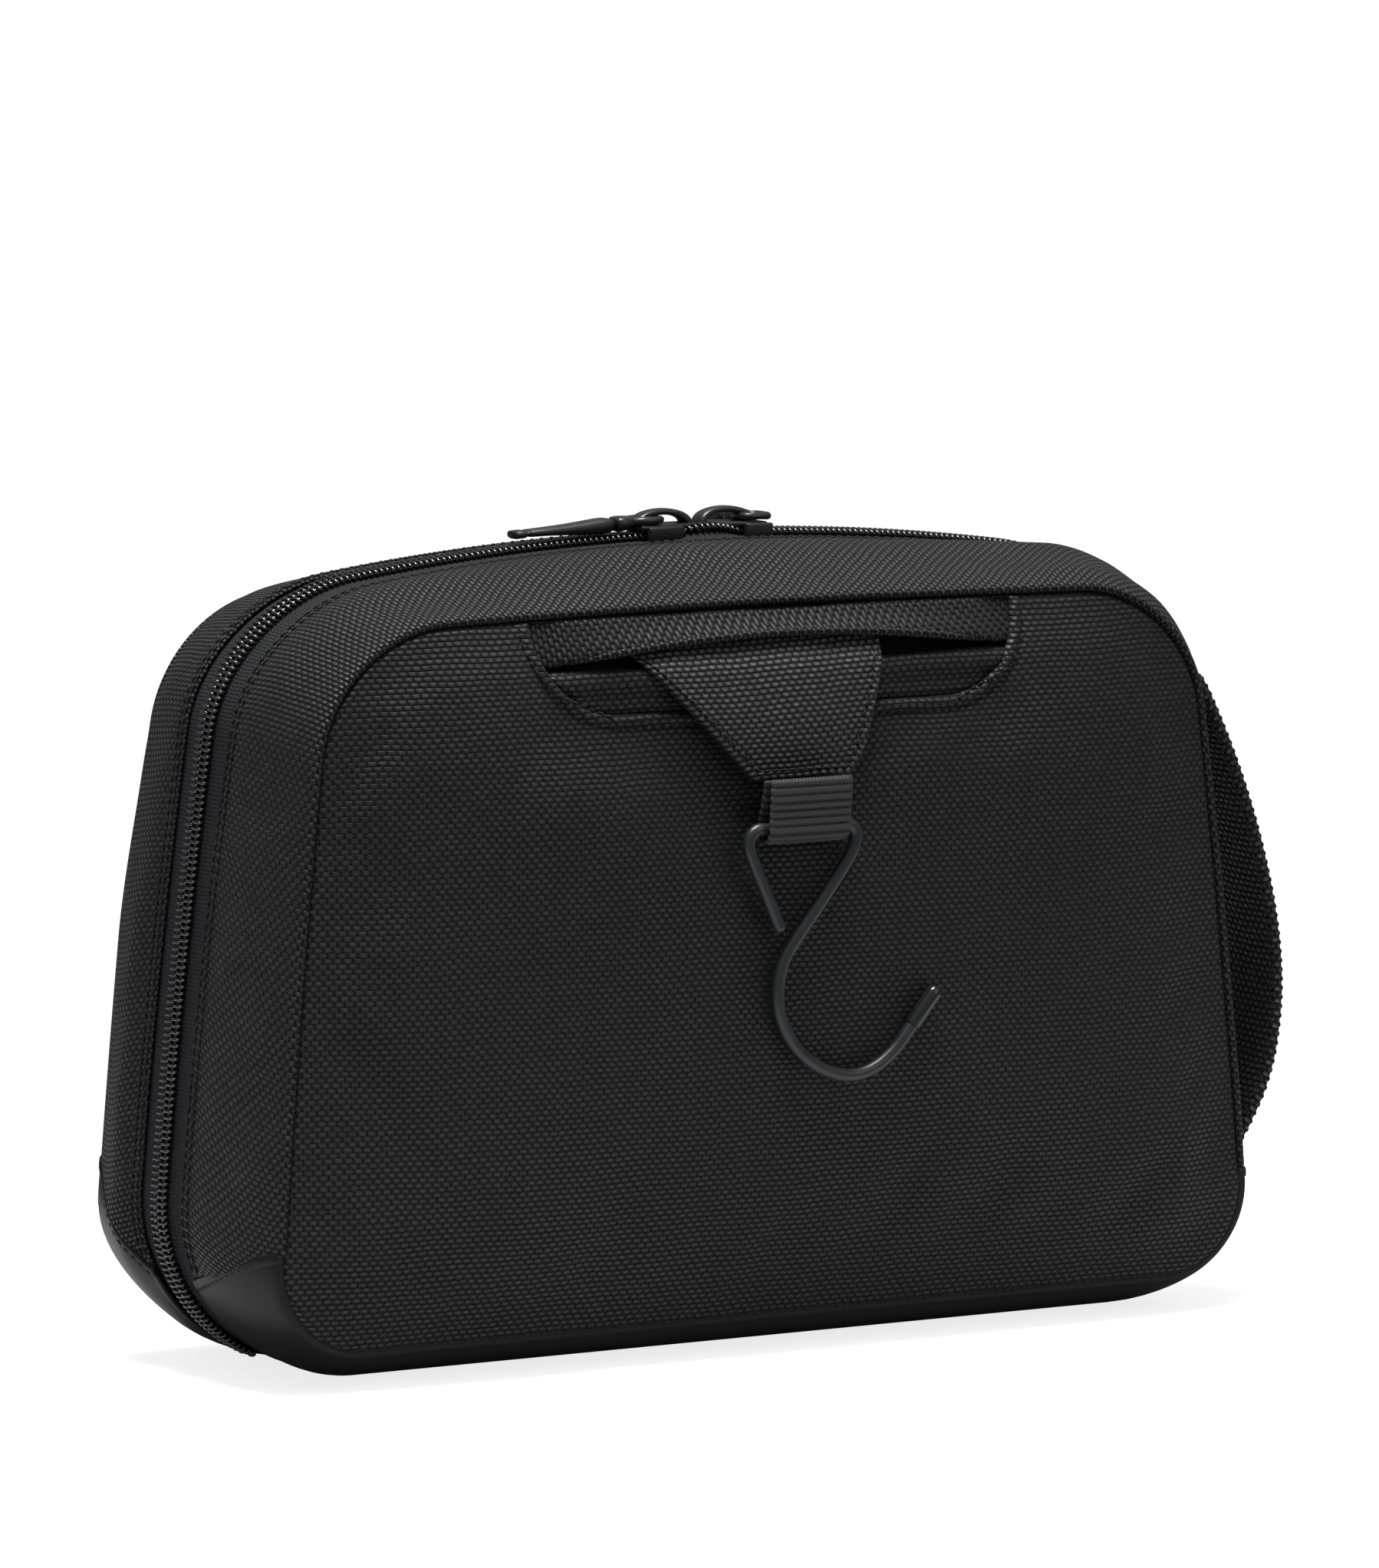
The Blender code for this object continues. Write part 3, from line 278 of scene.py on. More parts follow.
class Wall:
    """One half's walls as a dense table over turn and depth."""
    COUNT = 1200

    def __init__(self, side, prefix, body):
        self.side, self.prefix, self.body = side, prefix, body
        self.end = PANEL_DEPTH if side < 0 else LID_DEPTH
        self.depths = np.concatenate([[0.0, 9.0], np.linspace(TAPE_HALF, self.end, 30)])
        outlines = [wall_outline(side < 0, depth) for depth in self.depths]
        self.table = np.array([[point(k / self.COUNT) for k in range(self.COUNT)]
                               for point in outlines])
        self.run = distances(closed(self.table[0]))
        self.length = self.run[-1]

    def xz(self, turn, depth):
        turn, depth = np.broadcast_arrays(turn, depth)
        place = (turn % 1.0) * self.COUNT
        here = np.floor(place).astype(int) % self.COUNT
        ahead = (here + 1) % self.COUNT
        share = (place - np.floor(place))[..., None]
        row = np.clip(np.searchsorted(self.depths, depth) - 1, 0, len(self.depths) - 2)
        gap = self.depths[row + 1] - self.depths[row]
        across = np.clip((depth - self.depths[row]) / gap, 0, 1)[..., None]

        def on_row(i):
            return self.table[i, here] * (1 - share) + self.table[i, ahead] * share
        return on_row(row) * (1 - across) + on_row(row + 1) * across

    def point(self, turn, depth, off=0.0):
        """Points off millimetres outside the wall, and the outward normals."""
        turn, depth, off = np.broadcast_arrays(turn, depth, off)

        def place(at_turn, at_depth):
            q = self.xz(at_turn, at_depth)
            return columns(q[..., 0], self.side * at_depth, q[..., 1])
        turn_step, depth_step = 0.0035, 0.6
        around = place(turn + turn_step, depth) - place(turn - turn_step, depth)
        across = (place(turn, depth + depth_step)
                  - place(turn, np.maximum(depth - depth_step, 0)))
        normals = unit(np.cross(around, across) * self.side)
        return place(turn, depth) + normals * off[..., None], normals

    def arc(self, turn):
        """Distance along the zip line at a turn."""
        whole = np.floor(turn)
        return (np.interp((turn - whole) * self.COUNT, np.arange(self.COUNT + 1), self.run)
                + whole * self.length)

    def turn_at(self, arc):
        whole = np.floor(arc / self.length)
        return np.interp(arc - whole * self.length, self.run,
                         np.arange(self.COUNT + 1) / self.COUNT) + whole

    def seam_depth(self, turn):
        depth = np.full(np.shape(turn), self.end)
        if self.side < 0:
            for _ in range(3):
                depth = leaning_depth(self.xz(turn, depth)[..., 1])
        return depth

    def hem_turn(self, depth, clear=0.0):
        """Turn on the left where the base's hem lies, clear millimetres higher."""
        t = max(0.0, min(1.0, (depth - TAPE_HALF) / (self.end - TAPE_HALF)))
        seam_z = HEM_SEAM_Z + (0.0 if self.side < 0 else LID_HEM_RISE)
        z = HEM_TAPE_Z + (seam_z - HEM_TAPE_Z) * t + clear
        turns = np.linspace(0.14, 0.45, 400)
        return np.interp(z, self.xz(turns, depth)[..., 1], turns)


HOOK, LID = Wall(-1, "hook_side", "hook_half"), Wall(1, "lid", "lid")
WALLS = (HOOK, LID)


def from_bottom(turn):
    """0 at the bottom centre, 0.5 at the top, on either side."""
    return np.minimum(turn % 1.0, 1 - turn % 1.0)


def lid_swell(x, z, body=1.0, right_swell=0.3):
    """How far the lid's walls stand proud of their outline."""
    left, right = smooth(70, 112, -x), smooth(70, 112, x)
    low = smooth(8, 36, z) * (1 - smooth(96, 150, z))
    out = 2.7 * left * low * body + right_swell * right * low * body
    out = out - 1.1 * left * smooth(135, 160, z) * body
    return out + 0.6 * dip(x, z, 106, 166, 20, 18) * body


def wall_swell(wall, turn, depth):
    """How far either half's walls stand proud of, or behind, their outline."""
    q = wall.xz(turn, depth)
    x, z = q[..., 0], q[..., 1]
    end = wall.seam_depth(turn)
    body = smooth(10.5, 20.0, depth)
    fade = 1 - 0.75 * smooth(end - 7, end, depth)
    if wall.side > 0:
        return lid_swell(x, z, body, 1.2 * fade)
    left, right = smooth(70, 112, -x), smooth(70, 112, x)
    low = smooth(14, 52, z) * (1 - smooth(96, 150, z))
    out = (0.5 * left + 1.5 * right) * low
    out = out + 2.0 * dip(x, z, 104, 168, 26, 20) - 0.5 * dip(x, z, -100, 164, 18, 18)
    out = out * body * fade
    up = from_bottom(turn)
    ridge = (1.25 + 0.35 * waves(x, depth * 2, 77, 48)) * np.exp(-((depth - 20.5) / 6.5) ** 2)
    out = out + smooth(0.36, 0.42, up) * ridge * fade
    return out - 0.65 * (1 - smooth(11.0, 17.0, depth)) * smooth(0.3, 0.36, up)


def inner_swell(wall, turn, depth, swell):
    """The part of the swell that the cloth's inner face follows."""
    outward_part = np.where(depth > wall.seam_depth(turn) - 2.5, swell, 0.4 * swell)
    return np.where(swell < 0, swell * 0.3, outward_part)


# ------------------------------------------------------------ panel surfaces
def seam_loop(wall, shrink, count):
    """Closed loop of (x, z) inside the panel seam, evenly spaced."""
    arcs = np.linspace(0, wall.length, count, endpoint=False)
    return inset(wall.xz(wall.turn_at(arcs), wall.end), shrink)


class Panel:
    """A bulging panel inside a wall's seam."""

    def __init__(self, wall, bulge):
        self.hook, self.bulge = wall.side < 0, bulge
        x, z = seam_loop(wall, 0.6, 900).T
        angle = np.arctan2(z - CENTRE_Z, x)
        order = np.argsort(angle)
        angle = angle[order]
        self.angles = np.concatenate([angle - 2 * math.pi, angle, angle + 2 * math.pi])
        self.radii = np.tile(np.hypot(x, z - CENTRE_Z)[order], 3)

    def reach(self, x, z):
        """0 at the centre, 1 at the seam."""
        angle = np.arctan2(z - CENTRE_Z, x)
        return np.hypot(x, z - CENTRE_Z) / np.interp(angle, self.angles, self.radii)

    def depth(self, x, z):
        """Depth of the outer face."""
        seam = leaning_depth(z) if self.hook else LID_DEPTH
        return seam + self.bulge * (1 - np.clip(self.reach(x, z), 0, 1) ** 3.2)

    def near_seam(self, x, z):
        """0 at the seam, rising to 1 inside it."""
        return smooth(0.0, 0.16, 1 - self.reach(x, z))


HOOK_PANEL, LID_PANEL = Panel(HOOK, PANEL_BULGE), Panel(LID, LID_BULGE)

# Dents (-) and swellings (+): height, centre x, centre z, size x, size z, tilt in radians
HOOK_DENTS = [
    (-1.5, -33, 141, 20, 6.0, -0.80), (-1.1, -13, 118, 20, 6.5, -1.35),
    (-0.9, -60, 146, 14, 8, 0), (-0.7, 60, 147, 14, 8, 0),
    (0.9, 38, 139, 18, 7, 0.35), (0.7, -50, 128, 18, 9, -0.5),
    (-0.5, 22, 128, 10, 7, 0.9), (0.4, 20, 112, 16, 8, 0.9),
    (-0.6, 92, 140, 12, 26, 0.1), (-0.5, -96, 128, 9, 26, -0.1),
    (0.5, 60, 70, 40, 26, 0), (-0.5, -20, 60, 34, 30, 0),
]


def hook_face(x, z):
    """Depth of the hook side's softly dented face."""
    relief = 0.35 * waves(x, z, 3, 62) + 0.16 * waves(x, z, 5, 27)
    for height, *place in HOOK_DENTS:
        relief = relief + height * dip(x, z, *place)
    relief = relief + 1.25
    floor = 0.3                             # deep dents level out above the plain face
    relief = np.where(relief > floor, relief, floor * np.exp(np.minimum(relief - floor, 0) / 0.6))
    return HOOK_PANEL.depth(x, z) + (relief * HOOK_PANEL.near_seam(x, z) - 0.05)


def slot_half(z, grow=0.0):
    """Half width of the slot at a height."""
    t = np.clip((np.asarray(z, float) - SLOT_FLOOR) / (172.0 - SLOT_FLOOR), 0, 1)
    widening = (1 - (1 - t) ** 2.2) ** 0.62
    return SLOT_HALF_FLOOR + (SLOT_HALF_TOP - SLOT_HALF_FLOOR) * widening + grow


def mirrored(points):
    return [(-x, z) for x, z in reversed(points)]


def slot_loop():
    """Slot opening, its lower corners softened by averaging along the loop."""
    left = [(-float(slot_half(z)), z) for z in np.linspace(SLOT_FLOOR, SLOT_TOP, 14)]
    loop = resample(left + mirrored(left), 0.55)
    weights = np.exp(-np.linspace(-2, 2, 15) ** 2)
    weights /= weights.sum()
    soft = sum(weight * np.roll(loop, i - 7, 0) for i, weight in enumerate(weights))
    keep = smooth(164.0, 168.0, loop[:, 1])[:, None]
    return resample(loop * keep + soft * (1 - keep), 1.1)


SLOT = slot_loop()


# ------------------------------------------------------------ mesh building
def link(name, data):
    ob = bpy.data.objects.new(name, data)
    bpy.context.scene.collection.objects.link(ob)
    return ob


def new_object(name, verts, faces, material, cloth=None, sharp=55):
    """Smooth-shaded object; verts in millimetres, cloth the weave's coordinates."""
    mesh = bpy.data.meshes.new(name)
    verts = np.asarray(verts, float) * MM
    mesh.from_pydata([tuple(v) for v in verts], [], [tuple(int(i) for i in f) for f in faces])
    mesh.validate(clean_customdata=False)
    if cloth is not None:
        full = np.zeros((len(verts), 3), np.float32)
        full[:, :2] = cloth
        mesh.attributes.new("cloth", "FLOAT_VECTOR", "POINT").data.foreach_set(
            "vector", full.ravel())
    mesh.shade_smooth()
    mesh.set_sharp_from_angle(angle=math.radians(sharp))
    ob = link(name, mesh)
    mesh.materials.append(material)
    mesh.update()
    return ob


def outward(ob):
    """Turns all face normals outwards."""
    bm = bmesh.new()
    bm.from_mesh(ob.data)
    bmesh.ops.recalc_face_normals(bm, faces=bm.faces)
    bm.to_mesh(ob.data)
    bm.free()
    return ob


def attach(ob, body, node=None):
    """Ties an object to a moving body and hides the CAD node it replaces."""
    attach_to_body(ob, body)
    if node:
        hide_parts(node)


def inside(points, loop):
    """Even-odd test of points in a closed polygon."""
    x, y = points.T
    result = np.zeros(len(points), bool)
    for (x0, y0), (x1, y1) in zip(loop, np.roll(loop, -1, 0)):
        if y0 != y1:
            result ^= ((y0 > y) != (y1 > y)) & (x < (x1 - x0) * (y - y0) / (y1 - y0) + x0)
    return result


def within(points, loop, holes):
    result = inside(points, loop)
    for hole in holes:
        result &= ~inside(points, hole)
    return result


def dist_to(points, loop):
    """Distance of points from a closed polyline."""
    out = np.full(len(points), 1e9)
    for start, end in zip(loop, np.roll(loop, -1, 0)):
        edge = end - start
        square = edge @ edge
        if square < 1e-12:
            continue
        t = np.clip(((points - start) @ edge) / square, 0, 1)
        out = np.minimum(out, np.hypot(*(points - (start + t[:, None] * edge)).T))
    return out


def nearest(points, loops):
    return np.min([dist_to(points, loop) for loop in loops], axis=0)


def flat_mesh(loop, holes, step, rows):
    """Fills a 2-D loop with triangles, with rows of points at given distances from its edges.
    Returns points, triangles, rim edges and each point's distance from the edges."""
    loops = [loop, *holes]
    near = []
    for k, edge in enumerate(loops):
        for off in rows:
            points = inset(edge, off if k == 0 else -off)
            near.append(points[nearest(points, loops) > off * 0.85])
    near = np.vstack(near)
    near = near[within(near, loop, holes)]
    low, high = loop.min(0), loop.max(0)
    xs = np.arange(low[0], high[0], step)
    zs = np.arange(low[1], high[1], step * 0.866)
    grid = np.array([(x + (0.5 * step if i % 2 else 0), z) for i, z in enumerate(zs) for x in xs])
    grid = grid[within(grid, loop, holes)]
    grid = grid[nearest(grid, loops) > max(rows) + 0.55 * step]
    edges, base = [], 0
    for edge in loops:
        count = len(edge)
        edges += [(base + i, base + (i + 1) % count) for i in range(count)]
        base += count
    everything = np.vstack(loops + [near, grid])
    filled = delaunay_2d_cdt([Vector(p) for p in everything], edges, [], 0, 1e-5)
    points = np.array([p[:] for p in filled[0]])
    triangles = np.array([f for f in filled[2] if len(f) == 3])
    triangles = triangles[within(points[triangles].mean(1), loop, holes)]
    used, triangles = np.unique(triangles, return_inverse=True)
    points, triangles = points[used], triangles.reshape(-1, 3)
    first, second, third = points[triangles].transpose(1, 2, 0)
    cross = ((second[0] - first[0]) * (third[1] - first[1])
             - (second[1] - first[1]) * (third[0] - first[0]))
    triangles[cross < 0] = triangles[cross < 0][:, ::-1]
    half_edges = dict.fromkeys((int(t[i]), int(t[(i + 1) % 3])) for t in triangles
                               for i in range(3))
    rim = [(p, q) for p, q in half_edges if (q, p) not in half_edges]
    return points, triangles, rim, nearest(points, loops)


def patch(name, loop, step, front, material, rows, thickness=None, back=None, holes=(),
          round_radius=1.0, side=-1, cloth=None, move=None):
    """Closed piece of cloth over a 2-D loop. front(x, z) is its outer face's depth and
    back(x, z) its inner one's, or else it has a thickness. Its outer edge is rounded."""
    points, triangles, rim, dist = flat_mesh(loop, holes, step, rows)
    x, z = points.T
    base = front(x, z)
    edge = np.maximum(round_radius ** 2 - (round_radius - dist) ** 2, 0)
    drop = np.where(dist < round_radius, round_radius - np.sqrt(edge), 0)
    inner = back(x, z) if back else base - thickness
    outer = np.maximum(base - drop, inner + 0.05)
    outer_verts, inner_verts = columns(x, side * outer, z), columns(x, side * inner, z)
    if move:
        shift = move(points, triangles, dist, outer_verts)
        outer_verts, inner_verts = outer_verts + shift, inner_verts + shift
    count = len(points)
    shown = triangles if side < 0 else triangles[:, ::-1]
    faces = [*shown, *(shown[:, ::-1] + count)]
    for p, q in rim:
        faces.append((q, p, p + count, q + count) if side < 0
                     else (p, q, q + count, p + count))
    coords = cloth(points) if cloth else points
    return new_object(name, np.vstack([outer_verts, inner_verts]), faces, material,
                      np.vstack([coords, coords]))


def strip_object(name, verts, material, cloth, sharp):
    """Closed skin over a grid: rows run round a section, columns along the strip."""
    rows, count = verts.shape[:2]
    index = np.arange(rows * count).reshape(rows, count)
    faces = []
    for k in range(rows):
        j = (k + 1) % rows
        faces += list(zip(index[k, :-1], index[k, 1:], index[j, 1:], index[j, :-1]))
    faces += [tuple(index[:, 0]), tuple(index[::-1, -1])]
    return outward(new_object(name, verts.reshape(-1, 3), faces, material,
                              cloth.reshape(-1, 2), sharp))


def sweep(name, wall, turns, profile, material, swell, turn_rows=None, across_first=True,
          floor=-math.inf, sharp=60):
    """Sweeps a closed profile of (share, mm, offset) along the wall. A point's depth is
    FOLD + share * length + mm, the length reaching to the panel seam.
    swell(turn, depth, offset) is added to the offset; turn_rows shifts turns by depth."""
    typical = wall.seam_depth(np.array([0.25]))[0] - FOLD
    verts, arcs = [], []
    for share, extra, off in profile:
        turn = turn_rows(turns, FOLD + share * typical + extra) if turn_rows else turns
        depth = FOLD + share * (wall.seam_depth(turn) - FOLD) + extra
        points = wall.point(turn, depth, off + swell(turn, depth, off))[0]
        points[:, 2] = np.maximum(points[:, 2], floor)
        verts.append(points)
        arcs.append(wall.arc(turn))
    verts, arcs = np.array(verts), np.array(arcs)
    run = distances(verts)
    cloth = columns(run, arcs) if across_first else columns(arcs, run)
    return strip_object(name, verts, material, cloth, sharp)


def section_faces(count, sides, flip=False):
    """Faces of a capped tube of count sections with sides corners each."""
    faces = []
    for i in range(count - 1):
        for k in range(sides):
            here, after = i * sides + k, i * sides + (k + 1) % sides
            quad = (here, after, after + sides, here + sides)
            faces.append((quad[0], quad[3], quad[2], quad[1]) if flip else quad)
    first = tuple(range(sides))
    last = tuple((count - 1) * sides + k for k in range(sides))
    return faces + ([first, last[::-1]] if flip else [first[::-1], last])


def ring_tube(path, radii, sides, up=(0, 1, 0)):
    """Round tube along a path."""
    path = np.asarray(path, float)
    count = len(path)
    radii = np.broadcast_to(radii, (count,))[:, None, None]
    tangent = unit(np.gradient(path, axis=0))
    up = np.broadcast_to(np.asarray(up, float), (count, 3))
    normal = unit(up - tangent * np.sum(up * tangent, axis=1, keepdims=True))
    side = np.cross(tangent, normal)
    angle = np.linspace(0, 2 * math.pi, sides, endpoint=False)[None, :, None]
    verts = path[:, None] + radii * (normal[:, None] * np.cos(angle)
                                     + side[:, None] * np.sin(angle))
    return verts.reshape(-1, 3), section_faces(count, sides)


def join(parts):
    verts, faces, base = [], [], 0
    for part_verts, part_faces in parts:
        verts.append(part_verts)
        faces += [tuple(i + base for i in face) for face in part_faces]
        base += len(part_verts)
    return np.vstack(verts), faces


def stitch_run(path, normals, pitch=2.6, length=2.0, radius=0.24):
    """Threads lying along a path on a surface, one capsule a stitch."""
    run = distances(path)
    sink = 0.04
    lift = np.array([-0.35, 0.25, 0.6, 0.6, 0.25, -0.35]) * radius - sink
    radii = np.array([0.35, 0.85, 1.0, 1.0, 0.85, 0.35]) * radius
    parts = []
    for i in range(int(run[-1] / pitch)):
        middle = (i + 0.5) * pitch
        at = np.linspace(middle - length / 2, middle + length / 2, 6)
        normal = unit(along(normals, run, at))
        parts.append(ring_tube(along(path, run, at) + normal * lift[:, None], radii, 6, normal))
    return join(parts)


def add_stitches(name, body, *runs):
    attach(new_object(name, *join(runs), MATERIALS["thread"], sharp=80), body)


# ------------------------------------------------------------ shader building
class Value:
    """A node's output; arithmetic on it makes math nodes."""

    def __init__(self, tree, socket):
        self.tree, self.socket = tree, socket

    def __add__(self, other):
        return compute("ADD", self, other)

    def __radd__(self, other):
        return compute("ADD", other, self)

    def __sub__(self, other):
        return compute("SUBTRACT", self, other)

    def __rsub__(self, other):
        return compute("SUBTRACT", other, self)

    def __mul__(self, other):
        return compute("MULTIPLY", self, other)

    def __truediv__(self, other):
        return compute("DIVIDE", self, other)

    def __pow__(self, other):
        return compute("POWER", self, other)

    def math(self, operation, *others):
        return compute(operation, self, *others)

    def clamped(self):
        self.socket.node.use_clamp = True
        return self

    def fold(self):
        """0 in the middle of a 0 to 1 span, 1 at its ends."""
        return (self * 2.0 - 1.0).math("ABSOLUTE")

    def alternate(self):
        """0 and 0.5 in turn for whole numbers, to set rows in brick order."""
        return self.math("PINGPONG", 1.0) * 0.5

    def remap(self, low, high):
        """Stretches 0..1 to low..high."""
        return add_node(self.tree, "ShaderNodeMapRange", {0: self, 3: low, 4: high})

    def ramp(self, *stops):
        """Colour ramp through (position, colour) stops."""
        out = add_node(self.tree, "ShaderNodeValToRGB", {0: self})
        elements = out.socket.node.color_ramp.elements
        while len(elements) < len(stops):
            elements.new(0.5)
        for element, (position, colour) in zip(elements, stops):
            element.position = position
            element.color = (*colour, 1)
        return out

    def separate(self):
        out = add_node(self.tree, "ShaderNodeSeparateXYZ", {0: self})
        return [Value(self.tree, socket) for socket in out.socket.node.outputs]


def feed(tree, node, inputs):
    """Links or sets a node's inputs, given by name or number."""
    for key, value in inputs.items():
        if isinstance(value, Value):
            tree.links.new(value.socket, node.inputs[key])
        else:
            node.inputs[key].default_value = value


def add_node(tree, kind, inputs=None, output=0, **settings):
    node = tree.nodes.new(kind)
    for key, value in settings.items():
        setattr(node, key, value)
    feed(tree, node, inputs or {})
    return Value(tree, node.outputs[output])


def compute(operation, *terms):
    tree = next(term.tree for term in terms if isinstance(term, Value))
    return add_node(tree, "ShaderNodeMath", dict(enumerate(terms)), operation=operation)


class Shader:
    """One material around its Principled BSDF."""

    def __init__(self, name):
        self.material = bpy.data.materials.new(name)
        self.material.use_nodes = True
        self.tree = self.material.node_tree

    def add(self, kind, inputs=None, output=0):
        return add_node(self.tree, kind, inputs, output)

    def object_place(self):
        return self.add("ShaderNodeTexCoord", output="Object")

    def cloth_place(self, kept):
        """Vector, x and z in millimetres. A solid kept from the frame has no cloth
        attribute and takes them from its object coordinates."""
        if not kept:
            node = self.tree.nodes.new("ShaderNodeAttribute")
            node.attribute_name = "cloth"
            vector = Value(self.tree, node.outputs["Vector"])
            return (vector, *vector.separate()[:2])
        x, y, z = self.object_place().separate()
        across = (x + y) * 1000.0
        up = (z + y * 0.5) * 1000.0
        return self.combine(across, up), across, up

    def combine(self, x, y):
        return self.add("ShaderNodeCombineXYZ", {0: x, 1: y, 2: 0.0})

    def noise(self, vector, scale, detail=3.0, roughness=0.55):
        return self.add("ShaderNodeTexNoise", {
            "Scale": scale, "Detail": detail, "Roughness": roughness, "Vector": vector})

    def bump(self, height, strength, depth):
        return self.add("ShaderNodeBump", {
            "Strength": strength, "Distance": depth * MM, "Height": height})

    def finish(self, inputs):
        feed(self.tree, self.tree.nodes["Principled BSDF"], inputs)
        return self.material


def scaled(colour, factor):
    return tuple(channel * factor for channel in colour)


# ------------------------------------------------------------ materials
def weave(name, across=2.2, up=1.22, dark=(0.0032, 0.0032, 0.0035),
          light=(0.047, 0.0465, 0.049), depth=0.34, rough=0.46, specular=0.36, kept=False):
    """Ballistic cloth: short floats in brick order, each a small cushion of filaments.
    across and up are a float's size."""
    shader = Shader(name)
    place, x, z = shader.cloth_place(kept)
    wobble = (shader.noise(place, 0.045, 2.0) - 0.5) * 1.4
    rows = (z + wobble) / up
    row, in_row = rows.math("FLOOR"), rows.math("FRACT")
    odd = row.alternate()
    floats = (x + wobble) / across + odd
    column, in_float = floats.math("FLOOR"), floats.math("FRACT")
    fold_x, fold_z = in_float.fold(), in_row.fold()
    height_x = (1.0 - fold_x ** 2.4).math("MAXIMUM", 0.0)
    height_z = (1.0 - fold_z ** 2.0).math("MAXIMUM", 0.0)
    height = height_x * height_z
    chance = shader.add("ShaderNodeTexWhiteNoise", {"Vector": shader.combine(column, row)},
                        "Value")
    filaments = (in_row * (2 * math.pi * 4.0)).math("SINE")
    relief = (height ** 0.7) * chance.remap(0.82, 1.1) + filaments * 0.03
    grain = shader.noise(place, 3.5, 2.0)
    # the crown of each float is painted brighter, a little above its middle: a painted highlight
    # for the light its rounded top catches
    crown_x = (in_float - 0.5) / 0.3
    crown_z = (in_row - 0.56) / 0.22
    crown_highlight = ((crown_x * crown_x + crown_z * crown_z) * -1.0).math("EXPONENT")
    # tone also rises a little with each float's height, so the gaps between floats are painted
    # darker: painted shade
    tone = crown_highlight * chance.remap(0.55, 1.0) + height * 0.12
    patches = shader.noise(place, 0.016, 3.0, 0.5).remap(0.25, 1.6)
    middle = tuple(0.3 * p + 0.7 * q for p, q in zip(light, dark))
    gloss = rough + (grain - 0.5) * 0.2
    return shader.finish({
        "Base Color": (tone * patches).clamped().ramp((0.0, dark), (0.5, middle), (1.0, light)),
        "Roughness": (gloss + (1.0 - height) * 0.3).clamped(),
        "Specular IOR Level": (height * 0.85 + 0.15) * specular,
        "Sheen Weight": 0.03, "Sheen Roughness": 0.5,
        "Normal": shader.bump(relief, 1.0, depth)})


def knit(name, kept=False):
    """Zip tape: fine ribs of knitted loops."""
    loop_width, loop_height = 1.25, 0.95
    shader = Shader(name)
    place, x, z = shader.cloth_place(kept)
    rows = z / loop_height
    slant = (x / loop_width).math("FRACT").fold()
    in_row = (rows + slant * 0.5).math("FRACT")
    height_x = 1.0 - slant ** 4.0
    height_z = 1.0 - in_row.fold() ** 2.0
    height = (height_x * 0.6 + 0.4) * height_z
    # tone follows the loops' height: painted shade between the loops, with a random spread
    tone = (height + (shader.noise(place, 0.05) - 0.5) * 0.3).clamped()
    return shader.finish({
        "Base Color": tone.ramp((0.0, (0.003, 0.003, 0.004)), (1.0, (0.016, 0.0165, 0.021))),
        "Roughness": shader.noise(place, 2.0).remap(0.62, 0.86),
        "Specular IOR Level": 0.22, "Sheen Weight": 0.02,
        "Normal": shader.bump(height, 0.8, 0.3)})


def ribbed(name, pitch, dark, light, depth=0.1, kept=False):
    """Webbing and tapes: ribs at a pitch along z, crossed by fine twill."""
    twill = 0.9
    shader = Shader(name)
    place, x, z = shader.cloth_place(kept)
    in_twill = (x / twill + (z / pitch).math("FLOOR").alternate()).math("FRACT")
    height_x = 1.0 - in_twill.fold() ** 2.0
    height_z = 1.0 - (z / pitch).math("FRACT").fold() ** 2.0
    height = height_x * 0.22 + (height_z.math("MAXIMUM", 0.0) ** 1.8) * 0.78
    # tone follows the ribs' height: painted shade in the grooves and painted highlight on the rib
    # crests, with a random spread
    tone = (height + (shader.noise(place, 0.15) - 0.5) * 0.3).clamped()
    return shader.finish({
        "Base Color": tone.ramp((0.0, dark), (1.0, light)),
        "Roughness": shader.noise(place, 1.5).remap(0.5, 0.75),
        "Specular IOR Level": 0.4, "Sheen Weight": 0.02,
        "Normal": shader.bump(height, 0.8, depth)})


def coated(name, base):
    """Coated cloth: nearly smooth, fine leathery grain, satin."""
    shader = Shader(name)
    place = shader.object_place()
    fine, broad = shader.noise(place, 900.0), shader.noise(place, 60.0, 4.0)
    cells = shader.add("ShaderNodeTexVoronoi", {"Scale": 1500.0, "Vector": place}, "Distance")
    tone = (broad * 0.7 + fine * 0.3).clamped()
    return shader.finish({
        "Base Color": tone.ramp((0.2, scaled(base, 0.72)), (0.8, scaled(base, 1.35))),
        "Roughness": broad.remap(0.32, 0.46), "Specular IOR Level": 0.19,
        "Normal": shader.bump(cells * 0.5 + fine * 0.5, 0.25, 0.06)})


def plain(name, base, rough, metallic=0.0, specular=0.5, grain=700.0, depth=0.03, sheen=0.0):
    """Hard or moulded material with fine grain, tone spread and uneven gloss."""
    spread = 0.35
    shader = Shader(name)
    place = shader.object_place()
    fine, broad = shader.noise(place, grain, 2.0), shader.noise(place, 90.0, 4.0)
    return shader.finish({
        "Base Color": broad.ramp((0.25, scaled(base, 1 - spread)),
                                 (0.75, scaled(base, 1 + spread))),
        "Roughness": broad.remap(*rough), "Metallic": metallic,
        "Specular IOR Level": specular, "Sheen Weight": sheen,
        "Normal": shader.bump(fine, 0.4, depth)})


